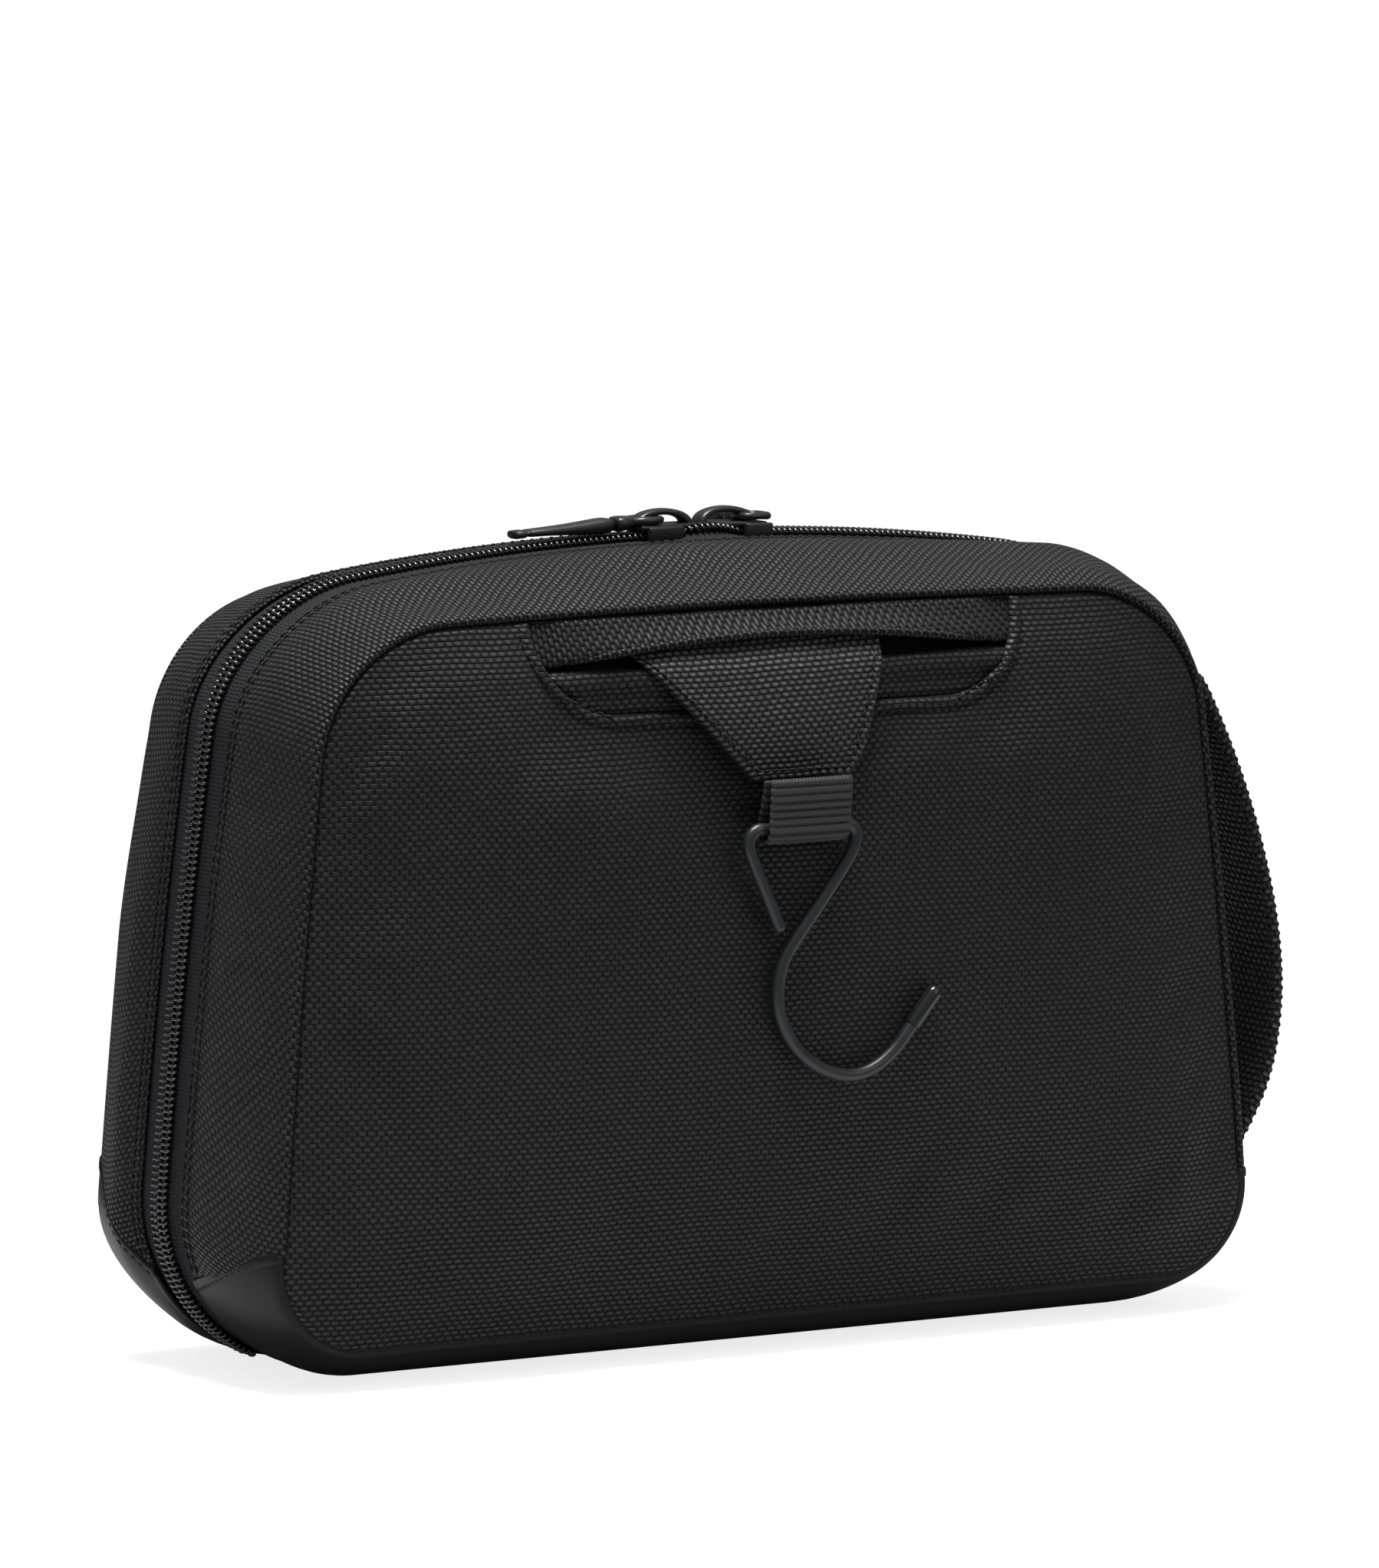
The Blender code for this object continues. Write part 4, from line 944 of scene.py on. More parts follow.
def net(name):
    """Warp-knit mesh: round holes in brick order, cut by transparency."""
    hole_across, hole_up, hole_radius = 2.5, 2.2, 0.27
    shader = Shader(name)
    place, x, z = shader.cloth_place(kept=True)
    rows = z / hole_up
    cells = x / hole_across + rows.math("FLOOR").alternate()
    from_x = cells.math("FRACT") - 0.5
    from_z = rows.math("FRACT") - 0.5
    radius = (from_x * from_x + from_z * from_z).math("SQRT")
    return shader.finish({
        "Alpha": 1.0 - radius.math("LESS_THAN", hole_radius),
        "Base Color": shader.noise(place, 0.8).ramp((0.3, (0.012, 0.012, 0.013)),
                                                    (0.7, (0.028, 0.028, 0.03))),
        "Roughness": 0.7, "Normal": shader.bump(radius, 0.6, 0.2)})


MATERIALS = {
    "cloth": weave("ballistic_cloth_weave", dark=(0.0062, 0.0062, 0.0066),
                   light=(0.0405, 0.04, 0.0425), rough=0.38, depth=0.3),
    # the slot lip's copy of the cloth is darker, to take back the light it gets from above:
    # painted shade
    "cloth_lip_painted_shade": weave("ballistic_cloth_slot_lip_painted_shade", dark=(0.0022, 0.0022, 0.0024),
                       light=(0.03, 0.0296, 0.0315), rough=0.4, depth=0.42),
    # the flap's copy of the cloth is much lighter, for the light the flap catches: painted light
    "cloth_flap_painted_light": weave("ballistic_cloth_flap_painted_light", dark=(0.002, 0.002, 0.0022),
                        light=(0.125, 0.123, 0.13), rough=0.34, specular=0.55),
    "cloth_gusset": weave("ballistic_cloth_gusset", dark=(0.002, 0.002, 0.0022),
                          light=(0.044, 0.0435, 0.046), rough=0.38, specular=0.4, depth=0.42),
    "coated": coated("coated_base_cloth", base=(0.0066, 0.0066, 0.0071)),
    "tape": knit("zip_tape_knit"),
    "coil": plain("zip_coil_nylon", base=(0.01, 0.01, 0.011), rough=(0.12, 0.2), specular=1.0,
                  depth=0.008),
    "web": ribbed("webbing_ribs", pitch=1.8, dark=(0.001, 0.001, 0.0012),
                  light=(0.04, 0.04, 0.0415), depth=0.5),
    "strap": weave("handle_webbing", across=2.6, up=1.5, dark=(0.003, 0.003, 0.0035),
                   light=(0.1, 0.1, 0.106)),
    "thread": plain("sewing_thread", base=(0.0075, 0.0075, 0.008), rough=(0.55, 0.8),
                    specular=0.22, grain=2500.0, depth=0.05, sheen=0.03),
    "wire": plain("powder_coated_wire", base=(0.017, 0.018, 0.02), rough=(0.3, 0.42),
                  grain=1400.0, depth=0.02),
    "cap": plain("hook_cap_moulded", base=(0.012, 0.0125, 0.014), rough=(0.16, 0.26),
                 specular=0.55, depth=0.008),
    "cast": plain("slider_black_plating", base=(0.02, 0.02, 0.022), rough=(0.24, 0.4),
                  metallic=0.35, specular=0.6, depth=0.012),
    "tab": plain("pull_tab_moulded", base=(0.011, 0.011, 0.012), rough=(0.4, 0.55),
                 specular=0.45, depth=0.02),
}
# materials of the solids kept from the frame
KEPT = {
    "foam": plain("foam", base=(0.1, 0.1, 0.11), rough=(0.85, 0.95), specular=0.2,
                  grain=1800.0, depth=0.2),
    "pouch": weave("slot_pouch_weave", across=0.9, up=0.55, dark=(0.002, 0.002, 0.002),
                   light=(0.012, 0.012, 0.012), depth=0.1, specular=0.2, kept=True),
    "lining": weave("lining_oxford", across=1.1, up=0.7, dark=(0.05, 0.05, 0.054),
                    light=(0.17, 0.172, 0.182), depth=0.12, rough=0.6, specular=0.3, kept=True),
    "binding": ribbed("seam_binding_grosgrain", pitch=0.9, dark=(0.008, 0.008, 0.009),
                      light=(0.035, 0.035, 0.037), kept=True),
    "net": net("pocket_mesh_knit"),
    "elastic": ribbed("pocket_elastic", pitch=1.4, dark=(0.01, 0.01, 0.011),
                      light=(0.05, 0.05, 0.053), depth=0.25, kept=True),
    "tape": knit("inner_zip_tape_knit", kept=True),
    "coil": MATERIALS["coil"],
    "strap": weave("handle_anchor_webbing", across=1.9, up=1.35, dark=(0.003, 0.003, 0.0035),
                   light=(0.04, 0.04, 0.043), rough=0.5, kept=True),
}
KEPT_NODES = {
    "hook_side_foam": "foam", "hook_side_lining": "lining", "hook_side_gusset_lining": "lining",
    "hook_side_base_board": "foam", "hook_side_seam_binding": "binding", "slot_pouch": "pouch",
    "slot_backing": "pouch", "handle_anchor_upper": "strap", "handle_anchor_lower": "strap",
    "slip_pocket_mesh": "net", "slip_pocket_elastic": "elastic", "lid_foam": "foam",
    "lid_lining": "lining", "lid_gusset_lining": "lining", "lid_seam_binding": "binding",
    "mesh_cover": "net", "inner_zip_tape": "tape", "inner_zip_coil": "coil",
}


# ------------------------------------------------------------ panels
def settle(points, triangles, pin):
    """Lets a sheet of cloth swell against its pinned edges. Returns the movement."""
    mesh = bpy.data.meshes.new("settle")
    mesh.from_pydata([tuple(p) for p in points * MM], [],
                     [tuple(int(i) for i in t) for t in triangles])
    ob = link("settle", mesh)
    group = ob.vertex_groups.new(name="pin")
    for i in np.nonzero(pin > 0.01)[0]:
        group.add([int(i)], float(min(1, pin[i])), "REPLACE")
    modifier = ob.modifiers.new("cloth", "CLOTH")
    cloth = modifier.settings
    cloth.quality = 5
    cloth.mass = 0.3
    cloth.tension_stiffness = cloth.compression_stiffness = 12
    cloth.shear_stiffness = 6
    cloth.bending_stiffness = 0.6
    cloth.vertex_group_mass = "pin"
    cloth.use_pressure = True
    cloth.uniform_pressure_force = 3.0
    cloth.shrink_min = -0.012               # the sheet grows slightly
    cloth.effector_weights.gravity = 0
    modifier.collision_settings.use_collision = False
    modifier.collision_settings.use_self_collision = False
    frames = 16
    modifier.point_cache.frame_start, modifier.point_cache.frame_end = 1, frames
    scene = bpy.context.scene
    for i in range(1, frames + 1):
        scene.frame_set(i)
    evaluated = ob.evaluated_get(bpy.context.evaluated_depsgraph_get())
    settled = np.zeros(len(points) * 3)
    evaluated.data.vertices.foreach_get("co", settled)
    settled = settled.reshape(-1, 3) / MM
    scene.frame_set(1)
    bpy.data.objects.remove(ob)
    bpy.data.meshes.remove(mesh)
    return settled - points


def smooth_field(field, triangles):
    """Averages a value per point with its neighbours, three times."""
    count = len(field)
    start, end = np.vstack([triangles[:, pair] for pair in ([0, 1], [1, 2], [2, 0])]).T
    links = np.bincount(start, minlength=count) + np.bincount(end, minlength=count)
    for _ in range(3):
        total = np.bincount(start, field[end], count) + np.bincount(end, field[start], count)
        field = 0.5 * field + 0.5 * total / np.maximum(links, 1)
    return field


def panel_move(side, limit, slot):
    """Movement of a panel's outer face as its cloth settles, at most limit millimetres."""
    def move(points, triangles, dist, verts):
        out = np.zeros_like(verts)
        pin = 1 - smooth(0.6, 3.0, dist)
        try:
            shift = settle(verts, triangles if side < 0 else triangles[:, ::-1], pin)
        except Exception:
            # guards the cloth simulation: without it the panel keeps its plain shape
            return out
        swell = smooth_field(np.nan_to_num(shift[:, 1] * side), triangles)
        swell = swell - np.median(swell) * 0.85
        swell = limit * np.tanh(swell / limit)
        mask = smooth(0.0, 12.0, dist)
        if slot:
            mask = mask * smooth(4.0, 20.0, dist_to(points, SLOT))
            mask = mask * (1 - dip(points[:, 0], points[:, 1], 0, 128, 34, 26))
        out[:, 1] = side * swell * mask
        return out
    return move


def hook_front(x, z):
    """Hook side's face with a ridge round the slot and a groove outside the ridge."""
    dist = dist_to(np.stack([x, z], 1), SLOT)
    ridge = 0.62 * smooth(0.0, 0.5, dist) * (1 - smooth(1.9, 3.0, dist))
    return hook_face(x, z) + (ridge - 0.4 * np.exp(-((dist - 3.0) / 0.55) ** 2))


def lid_front(x, z):
    swell = 0.5 * waves(x, z, 11, 70) + 0.2 * waves(x, z, 12, 30)
    return LID_PANEL.depth(x, z) + LID_PANEL.near_seam(x, z) * swell


def build_panels():
    loop = resample(seam_loop(HOOK, SEAM_INSET, 700), 1.6)
    panel = patch("hook_side_panel_cloth", loop, 2.2, hook_front, MATERIALS["cloth"],
                  rows=(0.2, 0.6, 1.1, 1.8, 2.5, 3.1, 3.8), thickness=0.9, holes=[SLOT],
                  round_radius=SEAM_INSET, move=panel_move(-1, 1.1, True))
    attach(panel, "hook_half", "hook_side_panel")
    loop = resample(seam_loop(LID, SEAM_INSET, 700), 2.0)
    loop = inset(loop, -lid_swell(*loop.T)[:, None])
    panel = patch("lid_panel_cloth", loop, 2.8, lid_front, MATERIALS["cloth"],
                  rows=(0.2, 0.6, 1.2, 2.2), thickness=0.9, round_radius=SEAM_INSET, side=1,
                  move=panel_move(1, 1.3, False))
    attach(panel, "lid", "lid_panel")


# ------------------------------------------------------------ gussets and bases
# Profiles are (share, mm, offset), see sweep; they run from the fold to the seam and back.
GUSSET_FOLD = [
    (0, 1.2, -1.05), (0, 0.25, -0.95), (0, 0.0, -0.55), (0, 0.12, -0.15), (0, 0.45, 0.02),
    (0, 0.95, -0.12), (0, 1.5, 0.06), (0, 2.3, 0.1), (0, 3.05, -0.12), (0, 3.7, 0.08),
    (0, 5.0, 0.14)]
GUSSET_BODY = (0.24, 0.32, 0.4, 0.48, 0.56, 0.64, 0.72, 0.8, 0.87, 0.93)
GUSSET_SEAM = [
    (1, -1.6, 0.16), (1, -0.7, 0.1), (1, -0.05, -0.12), (1, 0.4, -0.5), (1, 0.6, -1.0),
    (1, 0.5, -1.5), (1, 0.1, -1.85), (1, -0.3, -2.1), (1, -0.6, -3.0), (1, -1.2, -3.0),
    (1, -1.6, -1.4), (0.8, 0, -0.75), (0.6, 0, -0.75), (0.4, 0, -0.75), (0.24, 0, -0.75),
    (0, 3.0, -1.0)]
BASE_PROFILE = [
    (0, 1.2, -1.05), (0, 0.1, -0.95), (0, -0.15, -0.5), (0, 0.0, -0.1), (0, 0.4, 0.05),
    (0, 1.1, 0.03), (0, 1.7, -0.05), (0, 2.4, 0.0), (0, 4.0, 0.0),
    *((share, 0, 0.0) for share in (0.2, 0.3, 0.4, 0.5, 0.6, 0.68, 0.75, 0.81, 0.86, 0.9, 0.94)),
    (1, -1.2, -0.1), (1, -0.7, -0.25), (1, -0.35, -0.55), (1, -0.12, -1.1), (1, -0.1, -1.8),
    (1, -0.3, -3.2), (1, -1.2, -3.2), (1, -1.6, -1.4), (0.7, 0, -0.8), (0.4, 0, -0.8),
    (0, 3.0, -1.0)]


def build_gusset(wall, step, pad):
    """Cloth wall from hem to hem over the top; pad is how far it is stuffed out."""
    start = wall.hem_turn(26.0, -1.2)
    first, last = wall.arc(start), wall.arc(1 - start)
    turns = wall.turn_at(np.linspace(first, last, int((last - first) / step)))
    share = (turns - start) / (1 - 2 * start)

    def turn_rows(_, depth):
        hem = wall.hem_turn(depth, -1.4)
        return hem + share * (1 - 2 * hem)

    def swell(turn, depth, off):
        grow = wall_swell(wall, turn, depth)
        if off <= -0.3:
            return inner_swell(wall, turn, depth, grow)
        x, z = wall.xz(turn, depth).T
        broad = waves(x + 3 * z, depth * 1.5, 21 + wall.side, 60)
        fine = waves(wall.arc(turn), depth * 0.6, 31 + wall.side, 22)
        end = wall.seam_depth(turn)
        middle = smooth(14, 22, depth) * (1 - smooth(end - 7, end - 0.5, depth))
        return middle * (0.28 * broad + 0.12 * fine) + grow

    body = [(share_, 0, 0.14 + pad * math.sin(math.pi * min(1, (share_ - 0.12) / 0.88)))
            for share_ in GUSSET_BODY]
    node = wall.prefix + "_gusset"
    ob = sweep(node + "_cloth", wall, turns, GUSSET_FOLD + body + GUSSET_SEAM,
               MATERIALS["cloth_gusset"], swell, turn_rows)
    attach(ob, wall.body, node)


def build_base(wall, step):
    """Base from hem to hem under the bottom."""
    hem_edge = wall.hem_turn(26.0)
    reach = wall.arc(hem_edge)
    near_hem = np.array([0.35, 0.8, 1.4, 2.2, HEM_STITCH, 3.3, 4.0])
    arcs = np.concatenate([np.linspace(-reach, reach, int(2 * reach / step)),
                           -reach + near_hem, reach - near_hem])
    turns = wall.turn_at(np.unique(np.round(arcs, 4)))
    share = turns / hem_edge
    to_hem = reach * (1 - np.abs(share))

    def swell(turn, depth, off):
        grow = wall_swell(wall, turn, depth)
        if off < -0.6:
            return inner_swell(wall, turn, depth, grow)
        # the turned hem is thicker, drawn in by its stitching and rounded at its edge
        up = (0.06 + 0.36 * smooth(8.0, 24.0, wall.xz(turn, depth)[:, 1])
              + 0.3 * (1 - smooth(2.2, 3.2, to_hem))
              - 0.22 * np.exp(-((to_hem - HEM_STITCH) / 0.35) ** 2)
              - 0.55 * (1 - smooth(0.0, 0.8, to_hem)) ** 1.6)
        return up + grow

    node = wall.prefix + "_base"
    ob = sweep(node + "_cloth", wall, turns, BASE_PROFILE, MATERIALS["coated"], swell,
               lambda _, depth: wall.hem_turn(depth) * share, across_first=False, floor=0.02,
               sharp=70)
    attach(ob, wall.body, node)


# ------------------------------------------------------------ zip
RISING = slice(int(0.14 * Wall.COUNT), int(0.3 * Wall.COUNT))
ZIP_END = HOOK.turn_at(np.interp(ZIP_END_Z, HOOK.table[0][RISING, 1], HOOK.run[RISING]))
CHAIN_LIFT = 1.7
TAPE_PROFILE = [                            # (share, mm, offset), see sweep
    (0, -9.0, -1.0), (0, -8.6, -0.75), (0, -6.4, -0.7), (0, -5.4, -1.0), (0, -4.2, -1.12),
    (0, -2.6, -1.1), (0, -1.0, -1.15), (0, 0.6, -1.3), (0, 2.2, -1.45), (0, 2.2, -2.1),
    (0, -1.0, -1.9), (0, -4.0, -1.75), (0, -9.0, -1.6)]


def chain_lift(turn, x):
    """Between the sliders, at the top, the open chain stands up and apart."""
    rise = np.exp(-(np.abs(x - 5.4) / 8.0) ** 2.6)
    return np.where(np.abs(turn - 0.5) < 0.1, rise, 0)


def zip_span(wall):
    return wall.arc(ZIP_END), wall.arc(1 - ZIP_END)


def build_tape(wall, label):
    first, last = zip_span(wall)
    turns = wall.turn_at(np.linspace(first, last, int((last - first) / 1.8)))

    def swell(turn, depth, _):
        fade = 1 - smooth(4.0, 10.5, depth)
        up = chain_lift(turn, wall.xz(turn, depth)[:, 0]) * CHAIN_LIFT * fade
        if wall.side < 0:
            up = up - 0.65 * smooth(6.0, 10.0, depth) * smooth(0.3, 0.36, from_bottom(turn))
        return up
    ob = sweep(f"zip_tape_{label}_knit", wall, turns, TAPE_PROFILE, MATERIALS["tape"], swell)
    attach(ob, wall.body, "zip_tape_" + wall.prefix)


def on_chain(wall, arc, height, out):
    """Path along the zip, height above it and out from the zip plane; also its up."""
    turn = wall.turn_at(arc)
    points, normals = wall.point(turn, 0.001)
    lift = chain_lift(turn, points[:, 0])
    up = unit(normals * (1, 0, 1))
    path = points + up * (height + lift * CHAIN_LIFT)[:, None]
    path[:, 1] = wall.side * (out + lift * (2.6 if wall.side < 0 else 0.6))
    return path, up


def build_coil(wall, label, phase):
    """A wound coil, one turn a tooth, on the tape's edge, with a cord inside its turns."""
    pitch, steps = 1.5, 10
    first, last = zip_span(wall)
    k = np.arange(int((last - first) / pitch) * steps + 1)
    angle = 2 * math.pi * k / steps
    arc = first + pitch * (k / steps + phase) + 0.3 * np.cos(angle)
    path, up = on_chain(wall, arc, 0.1 + 0.82 * np.sin(angle), 1.62 - 1.72 * np.cos(angle))
    coil = ring_tube(path, 0.4, 6, np.array([0.0, 0.0, 1.0]) + up * 0.01)
    cord_path, _ = on_chain(wall, np.linspace(first, last, 420), 0.05, 1.75)
    parts = join([coil, ring_tube(cord_path, 0.5, 6)])
    ob = new_object(f"zip_coil_{label}_wound", *parts, MATERIALS["coil"], sharp=80)
    attach(ob, wall.body, "zip_coil_" + wall.prefix)


def build_hinge_strip():
    """Flat strip under the zip plane."""
    low, high = cad("bottom_hinge_strip")
    rows, count = 45, 60
    y, x = np.meshgrid(np.linspace(low.y, high.y, rows), np.linspace(low.x, high.x, count),
                       indexing="ij")
    verts = np.vstack([columns(x, y, z).reshape(-1, 3) for z in (0.95, 0.06)])
    top, bottom = np.arange(2 * rows * count).reshape(2, rows, count)
    faces = []
    for i in range(rows - 1):
        for j in range(count - 1):
            faces.append((top[i, j], top[i, j + 1], top[i + 1, j + 1], top[i + 1, j]))
            faces.append((bottom[i, j], bottom[i + 1, j], bottom[i + 1, j + 1],
                          bottom[i, j + 1]))
    for i in range(rows - 1):
        faces.append((top[i, 0], top[i + 1, 0], bottom[i + 1, 0], bottom[i, 0]))
        faces.append((top[i, -1], bottom[i, -1], bottom[i + 1, -1], top[i + 1, -1]))
    for j in range(count - 1):
        faces.append((top[0, j], bottom[0, j], bottom[0, j + 1], top[0, j + 1]))
        faces.append((top[-1, j], top[-1, j + 1], bottom[-1, j + 1], bottom[-1, j]))
    strip = outward(new_object("bottom_hinge_cloth", verts, faces, MATERIALS["coated"],
                               verts[:, :2]))
    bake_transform(strip)
    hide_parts("bottom_hinge_strip")


# ------------------------------------------------------------ stitching on the walls
def stitch_fold(wall, name, depth):
    """Stitches beside the fold, from hem to hem over the top."""
    start = wall.hem_turn(12.0, 1.0)
    turns = wall.turn_at(np.arange(wall.arc(start), wall.arc(1 - start), 1.0))
    path, normals = wall.point(turns, depth, 0.05 + wall_swell(wall, turns, depth))
    add_stitches(name, wall.body, stitch_run(path, normals, radius=0.32))


def stitch_hem(wall):
    depths = np.linspace(FOLD + 1.5, wall.seam_depth(np.array([0.2]))[0] - 1.5, 24)
    left = np.array([wall.turn_at(wall.arc(wall.hem_turn(depth)) - HEM_STITCH)
                     for depth in depths])
    runs = []
    for turns in (left, -left):
        path, normals = wall.point(turns, depths, 0.52 + wall_swell(wall, turns, depths))
        runs.append(stitch_run(path, normals, pitch=2.5))
    add_stitches("stitch_base_hem_" + wall.prefix, wall.body, *runs)


# ------------------------------------------------------------ slot
def stitch_slot():
    """Stitches round the slot's sides and floor."""
    left = [(-float(slot_half(z)) - 2.9, z) for z in np.linspace(170.0, SLOT_FLOOR, 12)
            if z > SLOT_FLOOR + 4]
    left += [(-44.5 - 2.0 * math.cos(t), SLOT_FLOOR + 2.0 - 4.9 * math.sin(t))
             for t in (0.55, 1.0, 1.4)]
    floor = [(x, SLOT_FLOOR - 2.95) for x in np.linspace(-40, 40, 20)]
    x, z = even(spline(left + floor + mirrored(left), 4), 0.8).T
    path = columns(x, -(hook_front(x, z) + 0.05), z)
    step = 0.6
    slope_x = (hook_front(x + step, z) - hook_front(x - step, z)) / (2 * step)
    slope_z = (hook_front(x, z + step) - hook_front(x, z - step)) / (2 * step)
    normals = unit(columns(-slope_x, -1.0, -slope_z))
    add_stitches("stitch_slot_surround", "hook_half",
                 stitch_run(path, normals, pitch=2.4, length=1.8, radius=0.3))


def lip_bottom(x):
    return 161.4 + 5.2 * (1 - np.minimum(1.0, np.abs(x) / 60.0) ** 2)


def lip_front(x, z):
    """The lip bellies out along its arched lower edge and sinks at its ends."""
    t = (z - lip_bottom(x)) / (171.0 - lip_bottom(x))
    belly = (3.5 * np.exp(-((t - 0.08) / 0.5) ** 2)
             * (1 - np.minimum(1, np.abs(x) / 62.0) ** 2.0))
    ends = -0.9 * smooth(54.0, 62.0, np.abs(x))
    return hook_face(x, z) + 0.1 + ends + belly + 0.2 * waves(x, z, 41, 26)


def build_lip():
    """Cloth lip over the slot's upper part, with a narrow roll along its lower edge."""
    low = [(x, float(lip_bottom(x))) for x in np.linspace(-61.6, 61.6, 60)]
    right = [(float(slot_half(z, 0.5)), z) for z in np.linspace(162.3, 171.9, 7)]
    # the lip wears the darker copy of the cloth: painted shade
    lip = patch("slot_lip_cloth", resample(low + right + mirrored(right), 1.1), 1.7, lip_front,
                MATERIALS["cloth_lip_painted_shade"], rows=(0.2, 0.6, 1.2), thickness=1.2,
                cloth=lambda points: points[:, ::-1])
    attach(lip, "hook_half", "slot_lip")

    x, z = np.array(low)[3:-3].T
    path = columns(x, -(lip_front(x, z + 0.6) - 0.55), z + 0.15)
    count, sides = len(x), 12
    radii = np.interp(np.arange(count), [0, 5, count - 6, count - 1], [0.35, 0.95, 0.95, 0.35])
    cloth = columns(np.tile(np.linspace(0, 6, sides), count), np.repeat(x, sides))
    roll = new_object("slot_lip_turned_edge", *ring_tube(path, radii, sides),
                      MATERIALS["cloth_gusset"], cloth, sharp=80)
    attach(roll, "hook_half")


def welt_front(x, z):
    """Two rolls one above the other."""
    upper = 1.75 * np.sin(math.pi * np.clip((z - 154.9) / 5.9, 0, 1)) ** 0.6
    lower = 0.75 * np.sin(math.pi * np.clip((z - 150.2) / 4.7, 0, 1)) ** 0.7
    ends = -0.48 * smooth(52.0, 60.0, np.abs(x))
    return hook_face(x, z) - 1.05 + (upper + lower) + ends + 0.12 * waves(x, z, 43, 20)


def build_welt():
    """Padded welt across the slot's lower part."""
    low = [(SLOT_HALF_FLOOR * share, SLOT_FLOOR - 0.5) for share in np.linspace(-1, 1, 40)]
    right = [(float(slot_half(z, 0.4)), z) for z in np.linspace(151.5, 160.2, 8)]
    top = [(x, 160.3 + 0.2 * math.cos(x / 9.0)) for x in np.linspace(59, -59, 50)]
    welt = patch("slot_welt_cloth", resample(low + right + top + mirrored(right), 1.1), 1.7,
                 welt_front, MATERIALS["cloth"], rows=(0.2, 0.6, 1.2), thickness=1.1)
    attach(welt, "hook_half", "slot_welt")


# ------------------------------------------------------------ flap and webbing loop
# (x, z) round the flap, and along its stitching
FLAP_LOOP = resample([
    (-41.6, 166.2), (-13.2, 134.9), (-12.2, 134.1), (-11.0, 133.8), (12.6, 133.7),
    (13.6, 134.1), (17.2, 138.4), (17.8, 139.8), (27.8, 166.4)], 0.9)
FLAP_STITCHES = [(-36.6, 162.5), (-11.5, 136.6), (-10.6, 136.15), (12.2, 136.05),
                 (14.9, 139.2), (15.3, 140.4), (24.0, 163.0)]


def flap_base(x, z):
    """Depth of the flap's face before its hem: it stands off the panel and curls in."""
    t = np.clip((165.0 - z) / 31.0, 0, 1)
    lift = 1.9 + 0.8 * np.sin(math.pi * t) + 0.5 * t
    curl = 0.001 * (x - 2) ** 2
    face = np.minimum(HOOK_PANEL.depth(x, z), HOOK_PANEL.depth(0 * x, z))
    return face + lift - curl + 2.1 - 2.3 * smooth(158.5, 166.0, z)


def flap_front(x, z):
    dist = dist_to(np.stack([x, z], 1), FLAP_LOOP)
    hem = 0.5 * (1 - smooth(2.3, 3.0, dist)) - 0.45 * np.exp(-((dist - 2.35) / 0.45) ** 2)
    return (flap_base(x, z) + hem * (1 - smooth(158, 164, z)) + 0.12 * waves(x, z, 51, 18)
            + 0.35 * dip(x, z, 2, 148, 12, 9))


def flap_cloth(points):
    """The weave lies slightly askew on the flap."""
    x, z = points.T
    return columns(x + 0.04 * (z - 150), z - 0.03 * x)


def build_flap():
    # the flap wears the lighter copy of the cloth: painted light
    flap = patch("hook_flap_cloth", FLAP_LOOP, 1.3, flap_front, MATERIALS["cloth_flap_painted_light"],
                 rows=(0.2, 0.6, 1.1, 1.7, 2.3, 2.9), back=lambda x, z: flap_base(x, z) - 1.7,
                 round_radius=0.9, cloth=flap_cloth)
    attach(flap, "hook_flap", "hook_flap")
    x, z = even(FLAP_STITCHES, 0.6).T
    path = columns(x, -(flap_front(x, z) + 0.2), z)
    normals = np.tile([0.0, -1.0, 0.0], (len(path), 1))
    add_stitches("stitch_hook_flap", "hook_flap",
                 stitch_run(path, normals, pitch=2.3, length=1.7, radius=0.3))


def build_hook_loop():
    """Ribbed webbing hanging from the flap, round the wire hook's bar and up again."""
    radius, step, rib_pitch, half = 2.75, 0.16, 1.8, 10.9
    path = [(0, -59.3, 134.6), (0, -59.3, 131.0), (0, -58.9, 127.0),
            (0, HOOK_Y - radius, HOOK_BAR_Z)]
    for k in range(1, 12):
        angle = math.pi * k / 12
        path.append((0, HOOK_Y - radius * math.cos(angle),
                     HOOK_BAR_Z - radius * math.sin(angle)))
    path += [(0, HOOK_Y + radius, HOOK_BAR_Z), (0, -54.3, 126.5), (0, -55.6, 130.0),
             (0, -56.6, 134.0)]
    core = even(spline(path, 6), step)
    tangent = unit(np.gradient(core, axis=0))
    normal = columns(0.0, tangent[:, 2], -tangent[:, 1])
    run = np.arange(len(core)) * step
    rib = 0.34 * np.abs(np.sin(math.pi * run / rib_pitch)) ** 0.8
    # across the webbing: x, half thickness
    stations = [(-half, 0.0), (-half + 0.25, 0.3), (-half + 0.9, 0.42), (-half + 1.5, 0.36),
                (-5, 0.4), (0, 0.4), (5, 0.4),
                (half - 1.5, 0.36), (half - 0.9, 0.42), (half - 0.25, 0.3), (half, 0.0)]
    outer, inner, cloth = [], [], []
    for x, thick in stations:
        rib_share = 1.0 if abs(x) < half - 1.2 else 0.5
        rise = normal * (thick + rib * rib_share)[:, None]
        outer.append(core + rise + np.array([x, 0, 0]))
        inner.append(core - rise + np.array([x, 0, 0]))
        cloth.append(columns(x, run))
    loop = strip_object("hook_loop_webbing", np.array(outer + inner[1:-1][::-1]),
                        MATERIALS["web"], np.array(cloth + cloth[1:-1][::-1]), 75)
    attach(loop, "hook_flap", "hook_loop")


